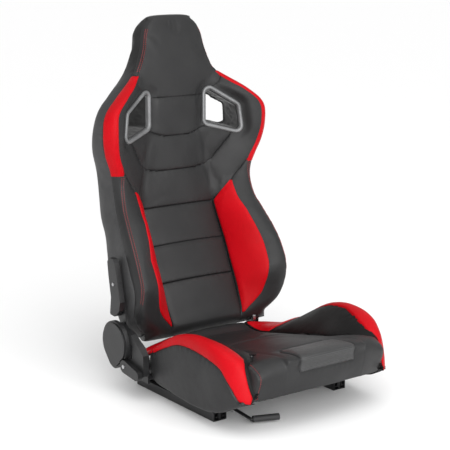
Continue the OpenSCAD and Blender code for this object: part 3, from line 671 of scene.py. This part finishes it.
def back_front_grid():
    rows = [soften_across(np.array([back_front(s, v) for v in COLS_V]), s) for s in STATIONS]
    s_of = list(STATIONS)
    for end, sign in ((0, -1), (-1, 1)):
        s = STATIONS[end]
        r = section(BACK, s)
        base = rows[end]
        rear = np.array([back_point(r, math.copysign(x, v) if v else 0.0, d)
            for v in COLS_V for x, d in [rear_xd(r, 3 - abs(v))]])
        extra = []
        for k in range(1, CAP_ROWS + 1):
            t = k / CAP_ROWS
            p = base + (rear - base) * float(smoothstep(0, 1, t))
            p[:, 2] += sign * (LIP if end == 0 else 4.0) * math.sin(math.pi * t ** LIP_SHAPE)
            extra.append(p)
        if end == 0:
            rows = extra[::-1] + rows
            s_of = [s - 1] * CAP_ROWS + s_of
        else:
            rows = rows + extra
            s_of = s_of + [s + 1] * CAP_ROWS
    return np.array(rows), np.array(s_of)


# Distance given to points that aren't near a ring
FAR = 99


def press_to_bezel(co):
    """Lays the cover flat under the bezel rings and tells how far each point is outside a ring."""
    side = np.where(co[:, 0] < 0, -1.0, 1.0)
    to_plus = np.stack([side, np.ones_like(side), np.ones_like(side)], -1)
    p = co * to_plus
    sd = bezel_sd(p, BEZEL_TURN)
    n = np.array([-math.sin(BEZEL_TURN), -math.cos(BEZEL_TURN), 0])
    height = (p - BEZEL_AT) @ n
    weight = (1 - smoothstep(0, 24, sd)) * (np.abs(height) < 45)
    p = p + n * ((-0.5 - height) * weight)[:, None]
    return p * to_plus, np.where(np.abs(height) < 60, sd, FAR)


def dome(co):
    """Rounds the top corners of the head down."""
    out = co.copy()
    out[:, 2] -= DOME * (np.abs(co[:, 0]) / DOME_X) ** 4 * smoothstep(880, TOP, co[:, 2])
    return out


grid, s_rows = back_front_grid()
n_rows, n_cols = grid.shape[:2]
flat = dome(grid.reshape(-1, 3))
flat, ring_sd = press_to_bezel(flat)


def area(f):
    a, b, c, d = flat[list(f)]
    return np.linalg.norm(np.cross(c - a, d - b)) / 2


faces = [f for f in grid_faces(n_rows, n_cols) if max(ring_sd[list(f)]) > -3.0 and area(f) > 0.6]
front_skin = mesh_object("backrest_front", flat, faces)
store(front_skin, "station", np.repeat(s_rows, n_cols))
store(front_skin, "across", np.tile(COLS_V, n_rows))

back_seams = Seams()
for points, depth in ((HEAD_SIDE, 2.6), (HEAD_FOOT, 2.2), (NECK_SIDE, 2.0)):
    back_seams.add_pair(front_line(points), depth)
back_seams.add(front_line(NECK_TOP), 3.4)
back_seams.add(front_line(NECK_FOOT), 3.6)
back_seams.add_pair(front_line(VEE_SIDE), 3.8)
for s in (SEAM_1, SEAM_2, SEAM_3):
    back_seams.add([back_front(s, v) for v in np.linspace(-1, 1, 41)], 5.0)
for points, depth in ((GROOVE, 5.0), (DIAGONAL, 2.6), (CREST, 2.4)):
    back_seams.add_pair(front_line(points), depth)
side_seam = [back_front(s, 3) for s in np.linspace(150, 930, 120)]
back_seams.add_pair(side_seam, 2.5)
SHOULDER_FOOT = (536, 1.9), (552, 3.0)
back_seams.add_pair([back_front(*(np.array(SHOULDER_FOOT[0]) * (1 - t) + np.array(SHOULDER_FOOT[1]) * t))
    for t in np.linspace(0, 1, 12)], 1.6)

distance, _, _ = back_seams.near(coords(front_skin) / MM)
s_point, v_point = stored(front_skin, "station"), stored(front_skin, "across")
held = (distance < 3.5) | (ring_sd < 14) | (np.abs(v_point) > 2.97)
held |= (s_point < FOOT + 0.5) | (s_point > TOP - 0.5)
inflate(front_skin, held, pressure=4.0, cap=0.005)
apply_modifier(front_skin, "SUBSURF", levels=1, render_levels=1)
back_guide = surface_tree([front_skin])
sew(front_skin, back_seams)


def edge_at(points, s):
    """v of a seam given as (height, v) pairs, at each height."""
    pts = np.array(sorted(points))
    return np.interp(s, pts[:, 0], pts[:, 1])


def back_panels(poly):
    """Number of the panel that each face belongs to, as in PANELS."""
    s = stored(front_skin, "station")[poly].mean(1)
    signed = stored(front_skin, "across")[poly].mean(1)
    v = np.abs(signed)
    label = np.full(len(poly), 1)
    head_edge = np.where(s > 792, edge_at(HEAD_SIDE, s), edge_at(HEAD_FOOT, s))
    label[(s > 726) & (v < head_edge)] = 2
    label[(s > 790) & (v >= head_edge)] = 3
    neck_low = np.interp(v, [0, 0.45, 0.8, 0.98], [623, 624, 632, 641])
    label[(s <= 726) & (s > neck_low) & (v < 1.03)] = 4
    vee = np.array(VEE_SIDE)[::-1]
    vee_low = np.interp(v, vee[:, 1], vee[:, 0])
    label[(s <= neck_low) & (s > vee_low) & (v < 1.5) & (s < 641)] = 5
    diag = edge_at(DIAGONAL, np.clip(s, 438, 546))
    below = (s <= 438) | ((s < 546) & (v > diag))
    label[below & (v > 1) & (signed < 0)] = 9
    label[below & (v > 1) & (signed > 0)] = 10
    label[(s <= SEAM_1) & (v <= 1)] = 6
    label[(s <= SEAM_2) & (v <= 1)] = 7
    label[(s <= SEAM_3) & (v <= 1)] = 8
    return label


PANELS = {1: "chest_cover", 2: "headrest_cover", 3: "headrest_side_covers",
    4: "neck_cover", 5: "upper_back_cover", 6: "lumbar_cover_upper", 7: "lumbar_cover_middle",
    8: "lumbar_cover_lower", 9: "back_bolster_cover_right", 10: "back_bolster_cover_left"}
panels = split(front_skin, back_panels, PANELS)
back_tree = surface_tree(panels.values())
STANDS_FOR = {"headrest_cover": ["headrest_pad"], "neck_cover": ["neck_pad"],
    "upper_back_cover": ["upper_back_pad"], "lumbar_cover_upper": ["lumbar_pad_upper"],
    "lumbar_cover_middle": ["lumbar_pad_middle"], "lumbar_cover_lower": ["lumbar_pad_lower"],
    "back_bolster_cover_right": ["back_bolster_right"], "back_bolster_cover_left": ["back_bolster_left"]}
for name, panel in panels.items():
    thicken(panel)
    finish_piece(panel, BLACK, "backrest", "black_leather", *STANDS_FOR.get(name, []), soft=True)


# ---------------------------------------------------------------- red panels of the backrest

STRIP_SINK = 2.2


def strip(name, rows, side, count_s, count_u):
    """Panel just under the bolster's face, between two edges given as (height, u, u)."""
    table = np.array(rows, float)
    out = []
    for s in np.linspace(table[0, 0], table[-1, 0], count_s):
        u0, u1 = (np.interp(s, table[:, 0], table[:, i]) for i in (1, 2))
        out.append([back_front(s, 1 + u0 + (u1 - u0) * k, -STRIP_SINK) * np.array([side, 1, 1])
            for k in np.linspace(0, 1, count_u)])
    return grid_object(name, out, side)


def lay_on(obj, tree, lift_of):
    """Drops a panel's points onto the sewn cover below and lifts them along its normal."""
    co = coords(obj) / MM
    out = []
    for i, p in enumerate(co):
        hit, normal, _, _ = tree.find_nearest(Vector(p), 40)
        out.append(np.array(hit + normal * lift_of[i]) if hit else p)
    set_coords(obj, np.array(out) * MM)


def edge_lift(count_s, count_u, width_s, width_u, crown, rim, sink):
    """Lift of a grid's points: sunk at the rim, raised within."""
    out = []
    for i in range(count_s):
        for j in range(count_u):
            a = min(i, count_s - 1 - i) / (count_s - 1) * width_s
            b = min(j, count_u - 1 - j) / (count_u - 1) * width_u
            d = min(a, b)
            out.append(rim * (1 - math.exp(-d / 1.2)) + crown * (1 - math.exp(-d / 14.0)) - sink)
    return out


def settle(obj):
    apply_modifier(obj, "SMOOTH", iterations=2, factor=0.5)


# Panel, its edges, rows and columns, length and width, and the crown in its middle
RED_PANELS = [("lumbar_accent", LEAF, (110, 26), (330, 70), 1.2),
    ("shoulder_band", SHOULDER, (90, 16), (250, 42), 0.8)]
for side, word in SIDE_WORDS:
    for kind, edges, counts, size, crown in RED_PANELS:
        panel = strip(kind + "_cover_" + word, edges, side, *counts)
        lay_on(panel, back_tree, edge_lift(*counts, *size, crown, 2.4, 0.6))
        settle(panel)
        thicken(panel, 1.2)
        finish_piece(panel, RED, "backrest", "red_leather", kind + "_" + word)


# ---------------------------------------------------------------- backrest, rear

REAR_W = np.concatenate([np.linspace(0, 1, 15), np.linspace(1, 2, 17)[1:], np.linspace(2, 3, 20)[1:]])
rear_rows = []
for s in STATIONS:
    r = section(BACK, s)
    half = [rear_xd(r, w) for w in REAR_W]
    rear_rows.append([back_point(r, x, d) for x, d in half + [(-x, d) for x, d in half[-2::-1]]])
rear_grid = np.array(rear_rows)
flat = dome(rear_grid.reshape(-1, 3))
mirror = np.stack([np.sign(flat[:, 0]) + (flat[:, 0] == 0), np.ones(len(flat)), np.ones(len(flat))], -1)
HOLE_GROW = -(BEZEL_W + 3.0)
hole = bezel_sd(flat * mirror, TUNNEL_TURN, HOLE_GROW)
hole[(np.abs(flat[:, 2] - BEZEL_AT[2]) > 110) | (flat[:, 1] < 300)] = FAR
faces = [f for f in grid_faces(*rear_grid.shape[:2]) if max(hole[list(f)]) > 0]
used = np.zeros(len(flat), bool)
used[np.unique(faces)] = True
# Points just inside the hole move out to its edge, along the slope of their distance
PROBE = 0.5
for i in np.nonzero(used & (hole < 0))[0]:
    p = flat[i]
    probe = np.array([bezel_sd((p + e) * mirror[i], TUNNEL_TURN, HOLE_GROW) for e in np.eye(3) * PROBE])
    g = (probe - hole[i]) / PROBE
    g[1] = 0
    flat[i] = p - g * hole[i] / max(g @ g, 1e-6)
rear = mesh_object("rear_cover_leather", flat, faces)
rear_seams = Seams()
rear_seams.add_pair(side_seam, 3.0)


def rear_point(s, w):
    r = section(BACK, s)
    x, d = rear_xd(r, abs(w))
    return back_point(r, math.copysign(x, w), d)


REAR_SEAM_S, REAR_SEAM_W = 600, 1.55
rear_seams.add_pair([rear_point(s, REAR_SEAM_W) for s in np.linspace(150, REAR_SEAM_S, 90)], 2.4)
rear_seams.add_pair([rear_point(REAR_SEAM_S, w) for w in np.linspace(REAR_SEAM_W, 3, 30)], 2.4)
distance, _, _ = rear_seams.near(coords(rear) / MM)
held = (distance < 3.5) | (hole < 6)
held[:rear_grid.shape[1]] = True
held[-rear_grid.shape[1]:] = True
inflate(rear, held, pressure=3.0, cap=0.004)
apply_modifier(rear, "SUBSURF", levels=1, render_levels=1)
sew(rear, rear_seams, pucker=0.9, grain=0.6)
rear_tree = surface_tree([rear])
thicken(rear)
finish_piece(rear, REAR_BLACK_PAINTED_LIGHT_AND_SHADE, "backrest", "black_leather", "rear_cover", soft=True)


# ---------------------------------------------------------------- harness openings

def outline(grow, count=96):
    """Points round the bezel's outline, moved out by grow."""
    inner = inset(BEZEL, BEZEL_R)
    radius = BEZEL_R + grow
    pts = []
    for i in range(4):
        a, b, c = inner[i - 1], inner[i], inner[(i + 1) % 4]
        n1 = math.atan2(-(b - a)[0], (b - a)[1])
        n2 = math.atan2(-(c - b)[0], (c - b)[1])
        while n2 < n1:
            n2 += 2 * math.pi
        if n2 - n1 > math.pi:
            n2 -= 2 * math.pi
        for t in np.linspace(n1, n2, 9):
            pts.append(b + radius * np.array([math.cos(t), math.sin(t)]))
    pts = np.array(pts + [pts[0]])
    run = np.concatenate([[0], np.cumsum(np.linalg.norm(np.diff(pts, axis=0), axis=1))])
    at = np.linspace(0, run[-1], count, endpoint=False)
    return np.stack([np.interp(at, run, pts[:, i]) for i in (0, 1)], -1)


def plane_point(lx, ly, lz, turn):
    """Point of a bezel's plane; lz is out of the cover, towards the front."""
    c, s = math.cos(turn), math.sin(turn)
    return BEZEL_AT + np.array([lx * c - lz * s, -lx * s - lz * c, ly])


def bezel_ring(name, side):
    """Ring with a rounded front edge that dips into the opening."""
    profile = [(0.4, -3.0), (0.4, 1.6), (-0.4, 3.6), (-2.2, 4.9), (-4.6, 5.3), (-7.4, 4.6), (-9.6, 2.4),
        (-10.8, -1.5), (-11.0, -7.5), (-9.6, -8.0), (-8.6, -3.0)]
    loops = []
    for grow, lift in profile:
        loop = [plane_point(x, z, lift, BEZEL_TURN) for x, z in outline(grow)]
        loops.append(np.array(loop) * np.array([side, 1, 1]))
    return grid_object(name, loops + [loops[0]], side, wrap=True)


def liner(name, side):
    """Lining of the opening, a little slack, with a rolled lip on the back."""
    tunnel = np.array([math.sin(TUNNEL_TURN), math.cos(TUNNEL_TURN), 0])
    nb = np.array([-math.sin(BEZEL_TURN), -math.cos(BEZEL_TURN), 0])
    edge = outline(-(BEZEL_W + 1.2))
    starts, ends = [], []
    for x, z in edge:
        p = plane_point(x, z, 0, TUNNEL_TURN)
        t = ((BEZEL_AT + nb * -5.0 - p) @ nb) / (tunnel @ nb)
        p0 = p + tunnel * t
        m = np.array([side, 1, 1])
        hit = rear_tree.ray_cast(Vector((p0 + tunnel * 200) * m), Vector(-tunnel * m), 400)[0]
        starts.append(p0)
        ends.append(np.array(hit) * m if hit else p0 + tunnel * 95)
    starts, ends = np.array(starts), np.array(ends)
    for _ in range(3):
        ends = 0.5 * ends + 0.25 * (np.roll(ends, 1, 0) + np.roll(ends, -1, 0))
    step = edge - np.roll(edge, 1, 0)
    out2 = np.stack([step[:, 1], -step[:, 0]], -1)
    out2 /= np.linalg.norm(out2, axis=1, keepdims=True)
    if ((edge - edge.mean(0)) * out2).sum() < 0:
        out2 = -out2
    c, s = math.cos(TUNNEL_TURN), math.sin(TUNNEL_TURN)
    out3 = np.stack([out2[:, 0] * c, -out2[:, 0] * s, out2[:, 1]], -1)
    round_it = np.arange(len(edge)) / len(edge) * 2 * math.pi

    def folds(count, along_it):
        return np.array([noise.noise(Vector((count * math.cos(a), count * math.sin(a), along_it)))
            for a in round_it])

    loops = []
    for t in np.arange(29) / 28:
        p = starts + (ends - starts) * t
        fold = folds(3.4, 1.6 * t + 5 * side) + 0.5 * folds(9, 5 * t)
        slack = 5.0 * math.sin(math.pi * min(1, t * 1.02)) ** 0.7
        loops.append(p - out3 * (slack * np.clip(0.25 + fold, 0, 1))[:, None])
    for grow, rise in ((0.6, 1.6), (2.6, 2.6), (5.0, 2.2), (6.6, 0.4), (7.0, -1.6)):
        loops.append(ends + out3 * grow + tunnel * rise)
    return thicken(grid_object(name, np.array(loops) * np.array([side, 1, 1]), side, wrap=True), 1.2)


for side, word in SIDE_WORDS:
    ring = bezel_ring("harness_bezel_moulding_" + word, side)
    finish_piece(ring, SILVER, "backrest", "silver_bezel", "harness_bezel_" + word)
    lining = liner("harness_lining_" + word, side)
    finish_piece(lining, LINING, "backrest", "liner_fabric", "harness_liner_" + word)


# ---------------------------------------------------------------- cushion

RED_IN = [(-318, 1.45), (-312, 1.28), (-300, 0.9), (-285, 0.55), (-270, 0.42), (-255, 0.5), (-213, 0.66),
    (-156, 0.82), (-111, 0.86), (-60, 0.92), (-25, 1.05), (10, 1.2), (40, 1.3)]
SIDE_K = np.linspace(0, 2.6, 30)


def side_point(y, k):
    """Outer side of the cushion, k from 0 at the band's edge to 2 at the lower edge and on under it."""
    r = section(SEAT, y)
    low = r[9]
    pts = [[r[6], r[7]], [r[8] + 2, 0.5 * (r[7] + low) + 4], [r[8] - 4, low + 2], [r[8] - 26, low - 1]]
    x, z = along(pts, k)
    return np.array([x, y, z])


# Drop of the bolster's inner edge below the groove, per unit of u
TUCK = 160


def bolster_mesh(name, side):
    ys = np.linspace(-318, 140, 92)
    us = np.concatenate([[-0.12, -0.05], np.linspace(0, 2, 42)])
    rows = [[bolster_top(y, max(u, 0)) + np.array([0, 0, TUCK * min(u, 0)]) for u in us] for y in ys]
    nose = []
    for k in (1, 2, 3):
        p = np.array(rows[0])
        centre = p.mean(0)
        q = p + (centre - p) * (0.33 * k)
        q[:, 1] = p[:, 1] - 2.0 * math.sin(math.pi * k / 6)
        nose.append(q)
    return grid_object(name, np.array(nose[::-1] + rows) * np.array([side, 1, 1]), side)


def side_mesh(name, side):
    ys = np.linspace(-302, 60, 75)
    rows = np.array([[side_point(y, k) for k in SIDE_K] for y in ys])
    caps = [rows[0] + np.array([-7.0 * k, -1.0, 0]) for k in (3, 2, 1)]
    tail = [rows[-1] + np.array([-4.0 * k * k, 2.5 * k, 0]) for k in (1, 2, 3)]
    return grid_object(name, np.array(caps + list(rows) + tail) * np.array([side, 1, 1]), side)


cushion_seams = Seams()
band_out = [bolster_top(y, 2) for y in np.linspace(-316, 40, 90)]
band_in = [bolster_top(y, u) for y, u in smooth_path(RED_IN)]
seat_groove = [bolster_top(y, 0) for y in np.linspace(-300, 136, 100)]
for line, depth in ((band_out, 2.6), (band_in, 1.6), (seat_groove, 4.0)):
    cushion_seams.add_pair(line, depth)

THIGH_X = np.concatenate([np.linspace(0, REAR_SEAM_X, 27), [121.5], np.linspace(123, 196, 17)])
THIGH_X = np.concatenate([-THIGH_X[:0:-1], THIGH_X])
THIGH_K = np.concatenate([np.linspace(0, 1, 46), np.linspace(1, 3, 44)[1:]])
INSERT_X, INSERT_K = 84.0, (0.74, 2.22)
INSERT_REAR_R, INSERT_FRONT_R = (16, 0.07), (8, 0.12)
PAD_END = 192.0
thigh_rear = [thigh_point(x, 0) for x in np.linspace(-REAR_SEAM_X, REAR_SEAM_X, 80)]
cushion_seams.add(thigh_rear, 5.0)
cushion_seams.add_pair([thigh_point(PAD_END, k) for k in np.linspace(0.3, 3, 60)], 2.2)


def insert_line(grow):
    """Outline of the insert on the thigh pad as (x, k)."""
    a, k0, k1 = INSERT_X + grow, INSERT_K[0] - grow / 200, INSERT_K[1] + grow / 50
    (rear_x, rear_k), (front_x, front_k) = INSERT_REAR_R, INSERT_FRONT_R
    pts = []
    for cx, ck, start in ((a - rear_x, k0 + rear_k, -math.pi / 2), (a - front_x, k1 - front_k, 0),
            (front_x - a, k1 - front_k, math.pi / 2), (rear_x - a, k0 + rear_k, math.pi)):
        rx, rk = INSERT_REAR_R if ck < 1 else INSERT_FRONT_R
        for t in np.linspace(start, start + math.pi / 2, 7):
            pts.append((cx + rx * math.cos(t), ck + rk * math.sin(t)))
    return pts + [pts[0]]


insert_edge = []
loop = insert_line(1.0)
for (x0, k0), (x1, k1) in zip(loop[:-1], loop[1:]):
    for t in np.linspace(0, 1, 12, endpoint=False):
        insert_edge.append(thigh_point(x0 + (x1 - x0) * t, k0 + (k1 - k0) * t))
cushion_seams.add(insert_edge, 3.2)

# Seat panel behind the thigh pad
ys = np.linspace(-50, 138, 40)
xs = np.linspace(-1, 1, 49)
rows = []
for y in ys:
    r = section(SEAT, y)
    rows.append([[w * (r[2] - 0.4), y, r[1] + (r[3] - r[1]) * abs(w) ** 2.0] for w in xs])
seat_panel = grid_object("seat_panel_cover", rows)
distance, _, _ = cushion_seams.near(coords(seat_panel) / MM)
held = distance < 4
held[-len(xs):] = True
inflate(seat_panel, held, pressure=3.0, cap=0.003)
apply_modifier(seat_panel, "SUBSURF", levels=1, render_levels=1)
sew(seat_panel, cushion_seams)

# Thigh pad, with its end faces folded in
rows = np.array([[thigh_point(x, k) for k in THIGH_K] for x in THIGH_X])
ends = []
for side in (-1, 1):
    edge = rows[0 if side < 0 else -1]
    centre = edge.mean(0) + np.array([0, 14, -10])
    caps = []
    for t in (0.12, 0.35, 0.62, 0.9):
        q = edge + (centre - edge) * t
        q[:, 0] = edge[:, 0] + side * 2.2 * math.sin(math.pi * min(1, t * 1.1))
        caps.append(q)
    ends.append(caps)
thigh = grid_object("thigh_pad_cover", ends[0][::-1] + list(rows) + ends[1])
distance, _, _ = cushion_seams.near(coords(thigh) / MM)
held = (distance < 3.5) | (np.abs(np.abs(coords(thigh)[:, 0] / MM) - (REAR_SEAM_X + 2)) < 3)
inflate(thigh, held, pressure=3.5, cap=0.004)
apply_modifier(thigh, "SUBSURF", levels=1, render_levels=1)
guides = [bpy.data.objects.new("guide", thigh.data.copy())]
sew(thigh, cushion_seams)

bolsters, sides = {}, {}
for side, word in SIDE_WORDS:
    pad = bolster_mesh("cushion_bolster_cover_" + word, side)
    distance, _, _ = cushion_seams.near(coords(pad) / MM)
    inflate(pad, distance < 3.5, pressure=3.5, cap=0.004)
    apply_modifier(pad, "SUBSURF", levels=1, render_levels=1)
    guides.append(bpy.data.objects.new("guide", pad.data.copy()))
    sew(pad, cushion_seams)
    bolsters[word] = pad
    skirt = side_mesh("cushion_side_cover_" + word, side)
    distance, _, _ = cushion_seams.near(coords(skirt) / MM)
    held = (distance < 3.5) | (np.tile(SIDE_K, len(distance) // len(SIDE_K)) > 1.9)
    inflate(skirt, held, pressure=4.0, cap=0.006)
    apply_modifier(skirt, "SUBSURF", levels=1, render_levels=1)
    guides.append(bpy.data.objects.new("guide", skirt.data.copy()))
    sew(skirt, cushion_seams, pucker=0.8, grain=0.6)
    sides[word] = skirt
cushion_guide = surface_tree(guides)
for guide in guides:
    bpy.data.objects.remove(guide)
cushion_tree = surface_tree([seat_panel, thigh] + list(bolsters.values()) + list(sides.values()))

for obj, node in [(seat_panel, "cushion_rear_pad"), (thigh, "cushion_thigh_pad")]:
    thicken(obj)
    finish_piece(obj, BLACK, "seat", "black_leather", node, soft=True)
for word in ("right", "left"):
    thicken(bolsters[word])
    finish_piece(bolsters[word], DEEP_BLACK, "seat", "black_leather", "cushion_bolster_" + word, soft=True)
    thicken(sides[word])
    finish_piece(sides[word], BLACK, "seat", "black_leather", "cushion_side_" + word, soft=True)

# Carbon-look insert with its own U and V
count_x, count_k = 64, 60
rows, uv = [], []
for a in np.linspace(-1, 1, count_x):
    row = []
    k_run = 0.0
    for k in np.linspace(*INSERT_K, count_k):
        gap = 1 - min((k - INSERT_K[0]) / INSERT_REAR_R[1], 1)
        p = thigh_point(a * (INSERT_X - 14 * (1 - math.sqrt(max(0, 1 - gap ** 2)))), k)
        if row:
            k_run += np.linalg.norm(p[1:] - row[-1][1:])
        row.append(p)
        uv.append((p[0] * MM, k_run * MM))
    rows.append(row)
insert = grid_object("carbon_insert_cover", rows)
lay_on(insert, cushion_tree, edge_lift(count_x, count_k, 170, 150, 0.8, 2.6, 0.8))
layer = insert.data.uv_layers.new(name="weave")
for corner, loop_data in enumerate(insert.data.loops):
    layer.data[corner].uv = uv[loop_data.vertex_index]
thicken(insert, 1.0)
finish_piece(insert, CARBON, "seat", "carbon_leather", "carbon_insert")

# Red bands over the bolsters' crests, running down the nose, and the red rear corners
red_in = np.array(RED_IN, float)


def red_cover(name, side, ys, us_at, lift, smooth, *nodes):
    """Red panel over a bolster; us_at gives the stations across it at each y."""
    rows = np.array([[bolster_top(y, u) for u in us_at(y)] for y in ys]) * np.array([side, 1, 1])
    panel = grid_object(name, rows, side)
    lay_on(panel, cushion_tree, edge_lift(*rows.shape[:2], *lift, 0.6))
    if smooth:
        settle(panel)
    thicken(panel, 1.2)
    finish_piece(panel, RED, "seat", "red_leather", *nodes)


for side, word in SIDE_WORDS:
    red_cover("cushion_band_cover_" + word, side, np.linspace(-317.5, 42, 100),
        lambda y: np.linspace(float(np.interp(y, red_in[:, 0], red_in[:, 1])), 1.99, 16),
        (360, 50, 1.0, 2.4), True, "cushion_band_" + word)
    red_cover("cushion_corner_cover_" + word, side, np.linspace(44, 138, 30),
        lambda y: np.linspace(0.06, 1.9, 22), (95, 110, 0.6, 2.0), False)


# ---------------------------------------------------------------- stitching

def stitching(name, rows, trees, thread_colour, body, slot_name):
    finish_piece(thread(name, rows, *trees), thread_colour, body, slot_name)


def mirrored(line, *offsets):
    """Rows for the line and its mirror image; the offset's sign turns round with the image."""
    return [(one, sign * off) for off in offsets for one, sign in zip(both_sides(line), (1, -1))]


back_trees, cushion_trees = (back_tree, back_guide), (cushion_tree, cushion_guide)
crest_lines = both_sides(front_line(CREST[:-1]))
head_lines = both_sides(front_line([(906, 2.0)] + HEAD_SIDE[2:-1] + [(796, 2.11)]))
rows = [(line, off) for line in crest_lines + head_lines for off in (-3.4, 3.4)]
stitching("backrest_stitching", rows, back_trees, RED_THREAD, "backrest", "red_leather")
leaf_edge = [back_front(s, 1 + u) for s, _, u in LEAF[2:]]
leaf_line = [along(leaf_edge, t) for t in np.linspace(0, len(leaf_edge) - 1, 120)]
stitching("accent_stitching", mirrored(leaf_line, 4.6), back_trees, GREY_THREAD, "backrest",
    "black_leather")
stitching("cushion_side_stitching", mirrored(band_out, 3.6, 8.2), cushion_trees, GREY_THREAD, "seat",
    "black_leather")
rows = [(line, 2.6) for line in both_sides([thigh_point(PAD_END, k) for k in np.linspace(0.5, 2.95, 50)])]
stitching("thigh_pad_stitching", rows, cushion_trees, RED_THREAD, "seat", "red_leather")


# ---------------------------------------------------------------- carried-over hardware

FINISH = {"rail_steel": PAINT, "zinc": STEEL, "frame_paint": PAINT, "spring_steel": STEEL,
    "black_leather": BLACK, "carbon_leather": CARBON, "red_leather": RED, "liner_fabric": LINING,
    "silver_bezel": SILVER, "black_plastic": PLASTIC, "grip_rubber": RUBBER}
slot_of = {p["node"]: p["material_slot"] for p in frame["record"]["subparts"]}
for name, obj in frame["nodes"].items():
    obj.data.materials.clear()
    obj.data.materials.append(FINISH[slot_of[name]])


# ---------------------------------------------------------------- stage, light and camera

FLOOR_HALF, FLOOR_Z = 60000, -0.6
floor = mesh_object("floor", [[x * FLOOR_HALF, y * FLOOR_HALF, FLOOR_Z]
    for x, y in ((-1, -1), (1, -1), (1, 1), (-1, 1))], [(0, 1, 2, 3)], smooth=False)
white, *_ = material("pale floor", (0.93, 0.93, 0.93), 0.9)
floor.data.materials.append(white)

world = bpy.data.worlds.new("studio")
bpy.context.scene.world = world
world.use_nodes = True
background = world.node_tree.nodes["Background"]
background.inputs["Color"].default_value = (1, 1, 1, 1)
background.inputs["Strength"].default_value = 0.62


def area_light(name, at, aim, size, power):
    data = bpy.data.lights.new(name, "AREA")
    data.size, data.energy = size, power
    obj = bpy.data.objects.new(name, data)
    bpy.context.scene.collection.objects.link(obj)
    obj.location = at
    obj.rotation_euler = (Vector(aim) - Vector(at)).to_track_quat("-Z", "Y").to_euler()


bpy.context.scene.view_settings.view_transform = "Standard"
CENTRE = (-0.05, 0.0, 0.45)
area_light("key", (-1.4, -2.9, 0.9), CENTRE, 1.4, 55)
area_light("fill", (0.6, -3.2, 1.4), CENTRE, 1.8, 20)
sky = bpy.data.objects.new("overhead", bpy.data.lights.new("overhead", "SUN"))
sky.data.energy, sky.data.angle = 1.7, math.radians(70)
sky.rotation_euler = (math.radians(28), math.radians(-12), 0)
bpy.context.scene.collection.objects.link(sky)

EYE, AIM = Vector((-1.942, -2.591, 1.138)), Vector((-0.092, -0.057, 0.450))
camera = bpy.data.objects.new("camera", bpy.data.cameras.new("camera"))
camera.data.lens, camera.data.sensor_width = 104.8, 36.0
camera.data.dof.use_dof = False
camera.location = EYE
camera.rotation_euler = (AIM - EYE).to_track_quat("-Z", "Y").to_euler()
bpy.context.scene.collection.objects.link(camera)
bpy.context.scene.camera = camera
